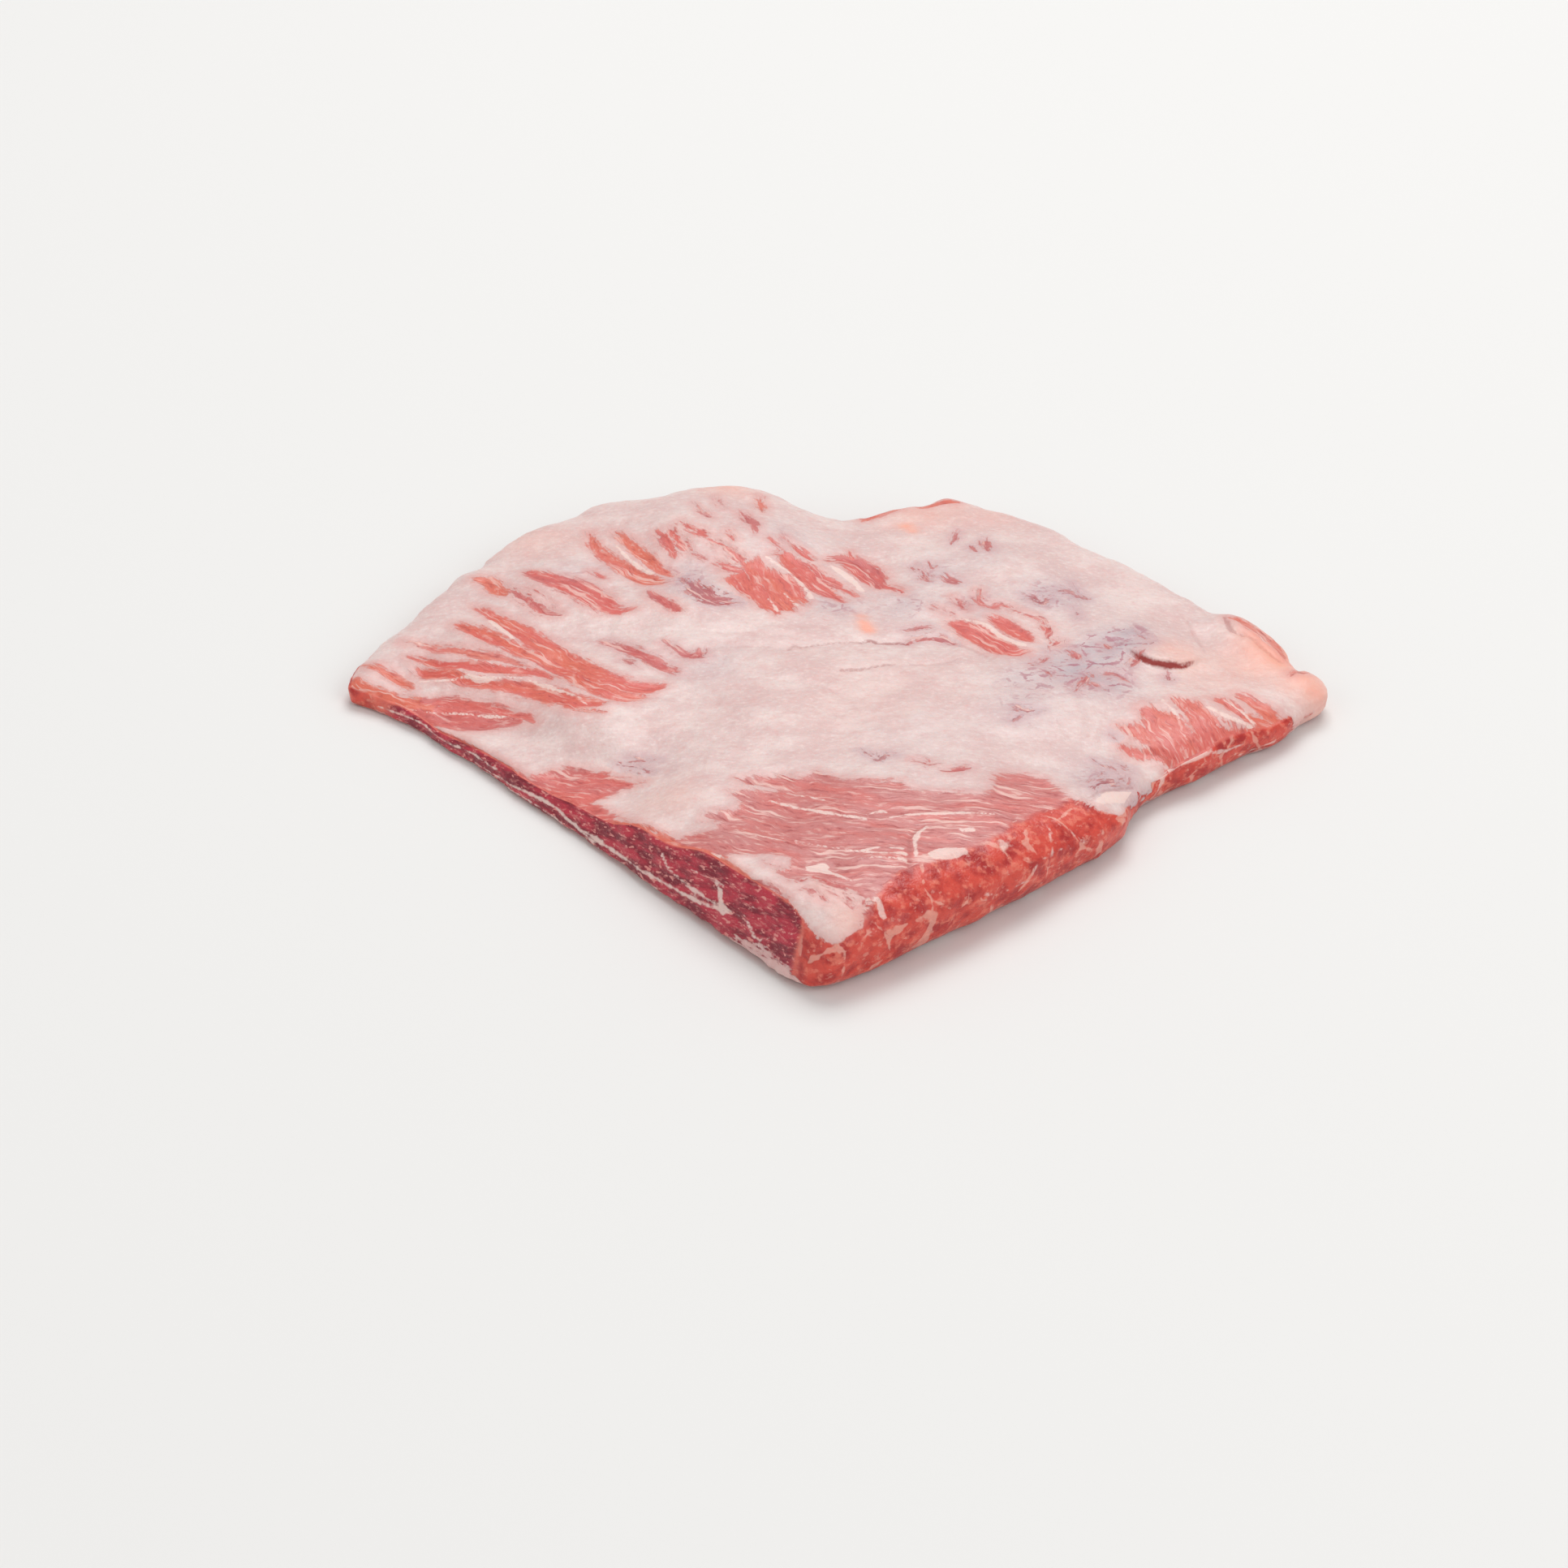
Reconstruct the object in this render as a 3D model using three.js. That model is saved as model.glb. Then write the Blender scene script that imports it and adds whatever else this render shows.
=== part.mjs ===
// A raw pork secreto: the fan-shaped muscle from behind a pig's shoulder, in one slab with the thin
// fat that covers it. It lies flat on its underside. +X runs from the thin left tip to the fat knob
// on the right, +Y from the sharp front corner to the two back lobes, and +Z is up. Millimetres.
//
// The rim is a closed curve through named places. A collar of rows climbs from the flat underside,
// round the edge, to the top, and a four-sided patch fills the top inside the collar.
import * as THREE from "three";

// Driving dimensions
const FULL_THICK = 21; // slab thickness at the heel, behind the front corner
const CUT_LEAN = 0.36; // how far the knife-cut face leans back, as a share of its height
const EDGE_ROUND = 0.95; // how far a soft edge takes to reach full height, as a share of it
const EDGE_TUCK = 0.34; // how far a soft edge tucks in under itself, as a share of its height
const WAIST = 0.54; // height of a soft edge's widest line, as a share of its height
const SOFT_REACH = 15; // most that a soft edge takes to reach full height
const EDGE_DEPTH = 8.5; // how far inside the rim the slab's height there is taken
const CREST_SHARE = 0.97; // height of the cut face's upper edge, as a share of the slab's there
const CREST_WIDTH = 2.5; // width of the narrow bevel from that edge to the top
const CUT_BELLY = 0.02; // how far the cut face swells out at mid height, as a share of its height
const RAGGED = 0.55; // how far the rim wanders in and out between its named places
const CUT_RAGGED = 0.3; // share of that on the cut face
const SWELL = { rise: 0.56, span: 26 }; // slow swellings of the top, and how far apart they are
const RIPPLE = { rise: 0.32, span: 12 }; // smaller ones on them

// Mesh fineness
const SIDE_STEPS = 54; // steps along each of the four sides
const TURN_STEPS = 3; // rows above the waist, and below it, on a rounded edge
const UNDER_RINGS = 4; // rings on the flat underside
const CURVE_STEPS = 40; // fine steps between two named places, to space the rim's points by
const CORNER_STEPS = 10; // steps beside the front corner that take their normals from one side
const WANDER_STEPS = 2.3; // steps that one wander of the rim takes
const JITTER_STEPS = 0.9; // and a finer one on it
const NORMAL_REACH = 3; // steps that the rim's direction is averaged over
const RELAX_ROUNDS = 60; // rounds that even out the net of the top patch

const PATCH_CORNERS = ["front corner", "right knob", "back crest", "left tip"];

// The rim's widest line, anticlockwise from above. thick is the slab's height just inside the rim,
// and cut is 1 where a knife left a flat face and 0 where the edge is soft and round. At the front
// corner the edge is both: the knife went across the rounded heel.
const RIM = [
  { name: "front corner", x: -5.5, y: -121, thick: 16, cut: 1, soft: 1 },
  { name: "heel start", x: 2.5, y: -115.5, thick: 17.5, cut: 0.3 },
  { name: "heel", x: 16, y: -107, thick: 18.5, cut: 0 },
  { name: "heel swell", x: 31, y: -94, thick: 19.5, cut: 0 },
  { name: "heel nick", x: 43, y: -84.5, thick: 19, cut: 0 },
  { name: "front belly", x: 54.5, y: -73, thick: 18.5, cut: 0 },
  { name: "belly end", x: 65.5, y: -62, thick: 17, cut: 0 },
  { name: "belly step", x: 72.5, y: -54, thick: 14.5, cut: 0 },
  { name: "bridge tuck", x: 75, y: -43.5, thick: 12.5, cut: 0 },
  { name: "bridge", x: 82, y: -33, thick: 11.5, cut: 0 },
  { name: "right lobe front", x: 95, y: -24.5, thick: 12, cut: 0 },
  { name: "right lobe side", x: 107, y: -13.5, thick: 11.5, cut: 0 },
  { name: "knob neck", x: 117.5, y: -6, thick: 10, cut: 0 },
  { name: "knob front", x: 124, y: 2.5, thick: 10.5, cut: 0 },
  { name: "right knob", x: 131.5, y: 11, thick: 11.5, cut: 0 },
  { name: "knob back", x: 130, y: 20, thick: 10.5, cut: 0 },
  { name: "knob shoulder", x: 123.5, y: 24, thick: 9, cut: 0 },
  { name: "roll low", x: 122, y: 33, thick: 9.5, cut: 0 },
  { name: "roll middle", x: 116, y: 43.5, thick: 10, cut: 0 },
  { name: "roll top", x: 109.5, y: 51.5, thick: 10, cut: 0 },
  { name: "roll nick", x: 105.5, y: 51.5, thick: 9.5, cut: 0 },
  { name: "right shoulder", x: 94.5, y: 65, thick: 11, cut: 0 },
  { name: "right back", x: 84, y: 76.5, thick: 11, cut: 0 },
  { name: "right back waist", x: 72, y: 87.5, thick: 11, cut: 0 },
  { name: "right back lobe", x: 60, y: 101.5, thick: 12, cut: 0 },
  { name: "right back crown", x: 44.5, y: 111, thick: 12, cut: 0 },
  { name: "back tag", x: 31.5, y: 117.5, thick: 12, cut: 0 },
  { name: "back tag foot", x: 24.5, y: 112, thick: 12, cut: 0 },
  { name: "lean tag", x: 15, y: 111.5, thick: 11.5, cut: 0 },
  { name: "lean tag foot", x: 8.5, y: 106.5, thick: 12, cut: 0 },
  { name: "back notch", x: 1, y: 104, thick: 12.5, cut: 0 },
  { name: "crest fall", x: -7.5, y: 105.5, thick: 15, cut: 0 },
  { name: "crest right", x: -16.5, y: 114, thick: 17, cut: 0 },
  { name: "back crest", x: -29, y: 118.5, thick: 18, cut: 0 },
  { name: "crest left", x: -40.5, y: 116.5, thick: 17.5, cut: 0 },
  { name: "left back", x: -52, y: 111.5, thick: 16, cut: 0 },
  { name: "left back lobe", x: -67, y: 111.5, thick: 14, cut: 0 },
  { name: "left back dip", x: -77, y: 103, thick: 12.5, cut: 0 },
  { name: "left shoulder", x: -88, y: 97, thick: 12, cut: 0 },
  { name: "left shoulder fall", x: -96.5, y: 84.5, thick: 11.5, cut: 0 },
  { name: "left nick", x: -102, y: 75.5, thick: 11, cut: 0 },
  { name: "left nick foot", x: -106.5, y: 72.5, thick: 10.5, cut: 0 },
  { name: "left edge high", x: -111.5, y: 61, thick: 10, cut: 0 },
  { name: "left edge middle", x: -119, y: 47.5, thick: 9.5, cut: 0 },
  { name: "left edge low", x: -127.5, y: 33, thick: 8.5, cut: 0 },
  { name: "left tip", x: -132, y: 17, thick: 7.5, cut: 0.2 },
  { name: "tip foot", x: -124, y: 12, thick: 6, cut: 0.5 },
  { name: "thin edge start", x: -110.5, y: 0.5, thick: 6, cut: 0.6 },
  { name: "thin edge", x: -96.5, y: -14.5, thick: 6.5, cut: 0.7 },
  { name: "thin edge end", x: -80.5, y: -33.5, thick: 6.8, cut: 0.85 },
  { name: "cut start", x: -64, y: -52, thick: 8, cut: 1 },
  { name: "cut low", x: -50, y: -70, thick: 12.3, cut: 1 },
  { name: "cut middle", x: -36, y: -87.5, thick: 18.3, cut: 1 },
  { name: "cut high", x: -21.5, y: -105, thick: 19.4, cut: 1 },
];

// Places inside the rim where the slab's thickness is known.
const INSIDE = [
  { name: "heel top", x: 8, y: -88, thick: FULL_THICK },
  { name: "front point", x: -7, y: -96, thick: 18.8 },
  { name: "front field", x: 25, y: -62, thick: 20 },
  { name: "front left field", x: -30, y: -55, thick: 16.5 },
  { name: "middle", x: 0, y: -15, thick: 17 },
  { name: "middle right", x: 50, y: -10, thick: 16 },
  { name: "middle left", x: -60, y: -5, thick: 14 },
  { name: "left fan", x: -95, y: 25, thick: 11.5 },
  { name: "left back field", x: -75, y: 60, thick: 14 },
  { name: "crest foot", x: -30, y: 50, thick: 16 },
  { name: "crest", x: -30, y: 85, thick: 19 },
  { name: "valley", x: 8, y: 70, thick: 14 },
  { name: "right back field", x: 45, y: 65, thick: 14.5 },
  { name: "right field", x: 75, y: 25, thick: 14.5 },
  { name: "right lobe top", x: 92, y: -12, thick: 14.5 },
];
const STATIONS = [...RIM, ...INSIDE];
const STATION_BLUR = 7; // below this distance from a station its thickness is smoothed out

// Long swellings and grooves: a soft ridge along the line from one point to another. A negative
// rise is a groove.
const RIDGES = [
  { name: "margin roll", from: [105, 43], to: [119, 22], width: 4.5, rise: 1.6 },
  { name: "margin roll crease", from: [98, 37], to: [110, 15], width: 3, rise: -1 },
  { name: "bridge lip", from: [62, -50], to: [80, -38], width: 5, rise: 1.7 },
  { name: "bridge crease", from: [86, -40], to: [76, -26], width: 3.5, rise: -1.8 },
  { name: "corner fat pillow", from: [-4, -100], to: [1, -108], width: 5, rise: 0.7 },
  { name: "valley crease", from: [2, 96], to: [13, 66], width: 8, rise: -1.4 },
  { name: "field lip", from: [-58, -52], to: [-42, -70], width: 7, rise: 1 },
  { name: "left fan crease", from: [-118, 4], to: [-72, -14], width: 5, rise: -0.8 },
  { name: "left fan swell", from: [-98, 40], to: [-60, 6], width: 7, rise: 0.9 },
  { name: "back streak swell", from: [-82, 58], to: [-60, 42], width: 6, rise: 0.8 },
  { name: "fold", from: [-14, 22], to: [30, 26.5], width: 3.5, rise: -0.8 },
];

// A scale of fat that has lifted: it stands up along a curved lip, with a crevice in front of it.
const FLAP = { x: 88, y: 12.8, half: 8.5, bow: 0.06, rise: 1.8, back: 8, crevice: 1.3, front: 2.4 };

const fract = (v) => v - Math.floor(v);
const fade = (t) => t * t * (3 - 2 * t);
const mix = (a, b, t) => a + (b - a) * t;

// Smooth value noise in -1 to 1, the same on every run.
function noise(x, y) {
  const corner = (i, j) => fract(Math.sin(i * 127.1 + j * 311.7) * 43758.5453) * 2 - 1;
  const i = Math.floor(x);
  const j = Math.floor(y);
  const s = fade(x - i);
  const t = fade(y - j);
  return mix(mix(corner(i, j), corner(i + 1, j), s), mix(corner(i, j + 1), corner(i + 1, j + 1), s), t);
}

// The slab's thickness, blended from the stations by distance.
function thickness(x, y) {
  let sum = 0;
  let weights = 0;
  for (const station of STATIONS) {
    const reach = (x - station.x) ** 2 + (y - station.y) ** 2 + STATION_BLUR ** 2;
    const weight = 1 / reach ** 2;
    sum += weight * station.thick;
    weights += weight;
  }
  return sum / weights;
}

function ridgeHeight(x, y, ridge) {
  const [x0, y0] = ridge.from;
  const [dx, dy] = [ridge.to[0] - x0, ridge.to[1] - y0];
  const along = THREE.MathUtils.clamp(((x - x0) * dx + (y - y0) * dy) / (dx * dx + dy * dy), 0, 1);
  const away = Math.hypot(x - x0 - along * dx, y - y0 - along * dy);
  return ridge.rise * Math.exp(-((away / ridge.width) ** 2));
}

function flapHeight(x, y) {
  const across = (x - FLAP.x) / FLAP.half;
  const window = Math.exp(-(across ** 4));
  const ahead = FLAP.y + FLAP.bow * (x - FLAP.x) ** 2 - y;
  return ahead <= 0
    ? window * FLAP.rise * Math.exp(ahead / FLAP.back)
    : -window * FLAP.crevice * Math.exp(-ahead / FLAP.front);
}

// Height of the top surface over the underside.
function topHeight(x, y) {
  const swell = SWELL.rise * noise(x / SWELL.span, y / SWELL.span);
  const ripple = RIPPLE.rise * noise(x / RIPPLE.span + 9, y / RIPPLE.span);
  const ridges = RIDGES.reduce((sum, ridge) => sum + ridgeHeight(x, y, ridge), 0);
  return thickness(x, y) + swell + ripple + ridges + flapHeight(x, y);
}

// The rim as evenly spaced points on each of the four sides. Each has the share of a cut face and of
// a soft edge that it takes, and the outward normal of each. Only at the front corner do the two
// meet, so there each normal is taken from its own side.
function rimPoints() {
  const curve = (key) =>
    new THREE.CatmullRomCurve3(
      RIM.map((place) => new THREE.Vector3(place.x, place.y, key(place))),
      true,
      "centripetal",
    );
  const cutCurve = curve((place) => place.cut);
  const softCurve = curve((place) => place.soft ?? 1 - place.cut);
  const starts = PATCH_CORNERS.map((name) => RIM.findIndex((place) => place.name === name));
  const points = [];
  starts.forEach((start, side) => {
    const end = side + 1 < starts.length ? starts[side + 1] : RIM.length;
    const fine = CURVE_STEPS * (end - start);
    const walk = Array.from({ length: fine + 1 }, (_, k) => {
      const share = ((start + ((end - start) * k) / fine) / RIM.length) % 1;
      const { x, y, z: cut } = cutCurve.getPoint(share);
      return { x, y, cut, soft: softCurve.getPoint(share).z };
    });
    const reach = [0];
    for (let k = 1; k <= fine; k++) {
      reach.push(reach[k - 1] + Math.hypot(walk[k].x - walk[k - 1].x, walk[k].y - walk[k - 1].y));
    }
    for (let step = 0, k = 0; step < SIDE_STEPS; step++) {
      const wanted = (reach[fine] * step) / SIDE_STEPS;
      while (reach[k + 1] < wanted) k++;
      const share = (wanted - reach[k]) / (reach[k + 1] - reach[k]);
      const between = (key) => mix(walk[k][key], walk[k + 1][key], share);
      points.push({ x: between("x"), y: between("y"), cut: between("cut"), soft: between("soft") });
    }
  });
  const count = points.length;
  const normalBetween = (from, to) => {
    const [behind, ahead] = [points[(from + count) % count], points[to % count]];
    return new THREE.Vector2(ahead.y - behind.y, behind.x - ahead.x).normalize();
  };
  const corner = { soft: normalBetween(0, 2 * NORMAL_REACH), cut: normalBetween(-2 * NORMAL_REACH, 0) };
  return points.map((point, i) => {
    const onCutSide = i > count / 2;
    const nearCorner = Math.min(i, count - i) <= CORNER_STEPS;
    const behind = onCutSide ? i - NORMAL_REACH : Math.max(i - NORMAL_REACH, 0);
    const ahead = onCutSide ? Math.min(i + NORMAL_REACH, count) : i + NORMAL_REACH;
    const normal = normalBetween(behind, ahead);
    const raggedness = mix(RAGGED, RAGGED * CUT_RAGGED, point.cut);
    const wander = raggedness * (noise(i / WANDER_STEPS, 4) + 0.6 * noise(i / JITTER_STEPS, 8));
    return {
      x: point.x + normal.x * wander,
      y: point.y + normal.y * wander,
      normal,
      cut: THREE.MathUtils.clamp(point.cut, 0, 1),
      soft: THREE.MathUtils.clamp(point.soft, 0, 1),
      cutNormal: nearCorner && !onCutSide ? corner.cut : normal,
      softNormal: nearCorner && onCutSide ? corner.soft : normal,
    };
  });
}

// How far a soft edge of a slab of this height lies inside its widest line, at a height z.
function softInset(z, height) {
  const waist = WAIST * height;
  const below = z < waist;
  const share = below ? (waist - z) / waist : Math.min((z - waist) / (height - waist), 1);
  const depth = below ? EDGE_TUCK * height : Math.min(EDGE_ROUND * height, SOFT_REACH);
  return depth * (1 - Math.sqrt(1 - share ** 2));
}

// The rows of the collar on a slab of this height: how high each runs, and how far inside the rim
// a cut face and a soft edge would be there.
function collarProfile(height, cut) {
  const rows = [];
  for (let k = -TURN_STEPS; k <= TURN_STEPS + 1; k++) {
    const turn = (k / (k < 0 ? TURN_STEPS : TURN_STEPS + 1)) * (Math.PI / 2);
    const softZ = height * (k < 0 ? WAIST * (1 + Math.sin(turn)) : mix(WAIST, 1, Math.sin(turn)));
    const climb = (k + TURN_STEPS) / (2 * TURN_STEPS);
    const crest = climb > 1;
    const faceZ = crest ? height : height * climb * CREST_SHARE;
    const belly = CUT_BELLY * height * Math.sin(Math.PI * Math.min(climb, 1));
    const z = mix(softZ, faceZ, cut);
    rows.push({
      z,
      cutInset: crest ? CUT_LEAN * height + CREST_WIDTH : CUT_LEAN * faceZ - belly,
      softInset: softInset(z, height),
    });
  }
  return rows;
}

// Where a collar row passes inside a rim point.
function inside(point, row) {
  const [a, b] = [row.cutInset * point.cut, row.softInset * point.soft];
  return {
    x: point.x - point.cutNormal.x * a - point.softNormal.x * b,
    y: point.y - point.cutNormal.y * a - point.softNormal.y * b,
  };
}

// One round of evening out a net of plan points whose border stays. Each inner point moves to a mean
// of its neighbours, weighted so that the net's lines never cross (elliptic grid smoothing).
function relaxed(net) {
  const last = net.length - 1;
  const half = (p, q) => [(p[0] - q[0]) / 2, (p[1] - q[1]) / 2];
  const dot = (p, q) => p[0] * q[0] + p[1] * q[1];
  return net.map((line, a) =>
    line.map((point, b) => {
      if (a === 0 || b === 0 || a === last || b === last) return point;
      const [west, east, south, north] = [net[a - 1][b], net[a + 1][b], line[b - 1], line[b + 1]];
      const [across, along] = [half(east, west), half(north, south)];
      const [byAlong, byAcross, skew] = [dot(along, along), dot(across, across), dot(across, along)];
      return [0, 1].map((axis) => {
        const twist =
          net[a + 1][b + 1][axis] - net[a + 1][b - 1][axis] - net[a - 1][b + 1][axis] +
          net[a - 1][b - 1][axis];
        const pull =
          byAlong * (east[axis] + west[axis]) + byAcross * (north[axis] + south[axis]) -
          (skew * twist) / 2;
        return pull / (2 * (byAlong + byAcross));
      });
    }),
  );
}

// Every vertex and triangle of the slab.
function slabGeometry() {
  const rim = rimPoints();
  const count = rim.length;
  const positions = [];
  const triangles = [];
  const add = (x, y, z) => positions.push(x, y, z) / 3 - 1;
  const at = (i) => ({ x: positions[3 * i], y: positions[3 * i + 1] });

  // The collar, from the underside's edge up to the edge of the top patch.
  const profiles = rim.map((point) => {
    const { x, y, normal, cut } = point;
    const guess = topHeight(x - normal.x * EDGE_DEPTH, y - normal.y * EDGE_DEPTH);
    const top = inside(point, collarProfile(guess, cut).at(-1));
    return collarProfile(topHeight(top.x, top.y), cut);
  });
  const rows = profiles[0].map((_, row) =>
    rim.map((point, i) => {
      const place = inside(point, profiles[i][row]);
      return add(place.x, place.y, profiles[i][row].z);
    }),
  );

  // The top patch: a blend of its four sides, evened out, and lifted to the top surface.
  const last = rows[rows.length - 1];
  const n = SIDE_STEPS;
  const sideIndex = (a, b) => {
    if (b === 0) return a;
    if (a === n) return n + b;
    if (b === n) return 3 * n - a;
    return a === 0 ? (4 * n - b) % (4 * n) : -1;
  };
  const blend = (a, b, key) => {
    const [u, v] = [a / n, b / n];
    const p = (i, j) => at(last[sideIndex(i, j)])[key];
    return (
      mix(p(a, 0), p(a, n), v) + mix(p(0, b), p(n, b), u) -
      mix(mix(p(0, 0), p(n, 0), u), mix(p(0, n), p(n, n), u), v)
    );
  };
  let flat = [];
  for (let a = 0; a <= n; a++) {
    flat.push(Array.from({ length: n + 1 }, (_, b) => [blend(a, b, "x"), blend(a, b, "y")]));
  }
  for (let round = 0; round < RELAX_ROUNDS; round++) flat = relaxed(flat);
  const grid = flat.map((line, a) =>
    line.map((point, b) => {
      const edge = sideIndex(a, b);
      return edge >= 0 ? last[edge] : add(...point, topHeight(...point));
    }),
  );

  // The flat underside, in rings that shrink to its middle.
  const contact = rows[0];
  const under = [contact];
  for (let ring = 1; ring < UNDER_RINGS; ring++) {
    const share = 1 - ring / UNDER_RINGS;
    under.push(contact.map((i) => add(at(i).x * share, at(i).y * share, 0)));
  }
  const middle = add(0, 0, 0);

  // Splits a four-sided face along its shorter diagonal.
  const span = (i, j) =>
    Math.hypot(...[0, 1, 2].map((axis) => positions[3 * i + axis] - positions[3 * j + axis]));
  const quad = (a, b, c, d) => {
    if (span(a, c) <= span(b, d)) triangles.push(a, b, c, a, c, d);
    else triangles.push(a, b, d, b, c, d);
  };
  for (let i = 0; i < count; i++) {
    const next = (i + 1) % count;
    for (let row = 0; row + 1 < rows.length; row++) {
      quad(rows[row][i], rows[row][next], rows[row + 1][next], rows[row + 1][i]);
    }
    for (let ring = 0; ring + 1 < under.length; ring++) {
      quad(under[ring][i], under[ring + 1][i], under[ring + 1][next], under[ring][next]);
    }
    const inner = under[under.length - 1];
    triangles.push(inner[i], middle, inner[next]);
  }
  for (let a = 0; a < n; a++) {
    for (let b = 0; b < n; b++) quad(grid[a][b], grid[a + 1][b], grid[a + 1][b + 1], grid[a][b + 1]);
  }

  const geometry = new THREE.BufferGeometry();
  geometry.setAttribute("position", new THREE.Float32BufferAttribute(positions, 3));
  geometry.setIndex(triangles);
  return geometry;
}

// Puts the origin at the middle of the slab's footprint, on the surface it lies on.
function standOnOrigin(geometry) {
  geometry.computeBoundingBox();
  const { min, max } = geometry.boundingBox;
  geometry.translate(-(min.x + max.x) / 2, -(min.y + max.y) / 2, -min.z);
  geometry.computeVertexNormals();
  return geometry;
}

const meat = new THREE.MeshStandardMaterial({ color: 0xdcb9b4, roughness: 0.45, metalness: 0 });
const secreto = new THREE.Mesh(standOnOrigin(slabGeometry()), meat);
secreto.name = "pork_secreto";

const part = new THREE.Group();
part.add(secreto);

export default part;
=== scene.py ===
"""The looks of a raw pork secreto: a fan-shaped slab of marbled muscle under a thin cover of fat.

The CAD solid gives the form. This script copies it, makes its skin finer, sets the low relief of
fat, muscle and seams into it, and stores fields on the mesh that say where the muscle shows and how
its fibres run. One material paints the fat and three kinds of muscle by those fields. The tables
are in millimetres, in the CAD frame.
"""

import logging
import math
from dataclasses import dataclass, field
from enum import Enum

import bmesh
import bpy
import numpy as np
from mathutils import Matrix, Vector, noise


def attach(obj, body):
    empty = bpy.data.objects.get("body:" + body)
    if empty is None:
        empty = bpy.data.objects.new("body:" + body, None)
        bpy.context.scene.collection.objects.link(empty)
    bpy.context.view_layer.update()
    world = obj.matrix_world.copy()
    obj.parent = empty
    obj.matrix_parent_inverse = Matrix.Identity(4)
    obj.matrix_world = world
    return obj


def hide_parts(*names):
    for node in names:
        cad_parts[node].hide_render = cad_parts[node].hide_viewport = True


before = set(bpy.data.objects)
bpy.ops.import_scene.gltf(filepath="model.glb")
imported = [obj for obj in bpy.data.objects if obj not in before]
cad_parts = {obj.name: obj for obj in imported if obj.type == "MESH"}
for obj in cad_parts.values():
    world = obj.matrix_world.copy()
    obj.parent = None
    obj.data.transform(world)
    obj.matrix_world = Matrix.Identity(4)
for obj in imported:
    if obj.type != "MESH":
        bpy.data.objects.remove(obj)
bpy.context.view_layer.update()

LOG = logging.getLogger("secreto")

MM = 0.001
NODE = "pork_secreto"
FAR = 8.0  # fields are cut off this many millimetres from an edge
NEAR = 3.5  # the windows and the sides' bands meet within this many millimetres of an edge
NOWHERE = -1e3  # depth where there is no window near
FOOT_FROM = (-20.0, 112.0)  # the foot loop starts at the corner nearest to this
UNDER_GRAIN = np.array([[0.8, 0.6], [-0.6, 0.8]])  # turns x along the underside's fibres


class Zone(Enum):
    """The kinds of skin on the slab's rim, each with the name of its field."""

    CUT = "cut"
    SIDE = "side"


class Attribute(Enum):
    """The fields stored on the mesh for the material."""

    FIBRE = "fibre"
    MARKS = "marks"
    ZONES = "zones"
    TINTS = "tints"
    # Holds the fat's warm and cool stains, and the strength of the painted shade in the creases.
    STAINS = "stains"


FIELDS = {
    Attribute.MARKS: ("lean", "vein", "crease"),
    Attribute.ZONES: ("cut", "side", "under"),
    Attribute.TINTS: ("tone", "film", "mottle"),
    # warm and cool are stains of the fat; dark is the strength of the painted shade in the creases.
    Attribute.STAINS: ("warm", "cool", "dark"),
}


def smooth(values: np.ndarray, low: float, high: float) -> np.ndarray:
    """Smooth step of values from 0 at low to 1 at high."""
    t = np.clip((values - low) / (high - low), 0.0, 1.0)
    return t * t * (3.0 - 2.0 * t)


def bell(values: np.ndarray, middle: float, width: float) -> np.ndarray:
    """Bell curve of values, 1 at the middle."""
    return np.exp(-(((values - middle) / width) ** 2))


def lumps(points: np.ndarray, span: float, seed: float) -> np.ndarray:
    """Soft seeded noise at some points.

    Args:
        points: Places, one row of three numbers each, in millimetres.
        span: Distance between two lumps, in millimetres.
        seed: Shift that makes this noise differ from the others.

    Returns:
        One value in about -1 to 1 for each point.
    """
    moved = points / span + seed
    return np.array([noise.noise(Vector(p)) for p in moved.tolist()])


def linear(hex_colour: str) -> tuple[float, float, float, float]:
    """Linear colour of an sRGB hex colour.

    Args:
        hex_colour: Six hex digits.

    Returns:
        Red, green, blue and alpha.
    """
    parts = [int(hex_colour[i : i + 2], 16) / 255 for i in (0, 2, 4)]
    flat = [c / 12.92 if c <= 0.04045 else ((c + 0.055) / 1.055) ** 2.4 for c in parts]
    return (*flat, 1.0)


# ---------------------------------------------------------------- shapes drawn on the skin


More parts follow.
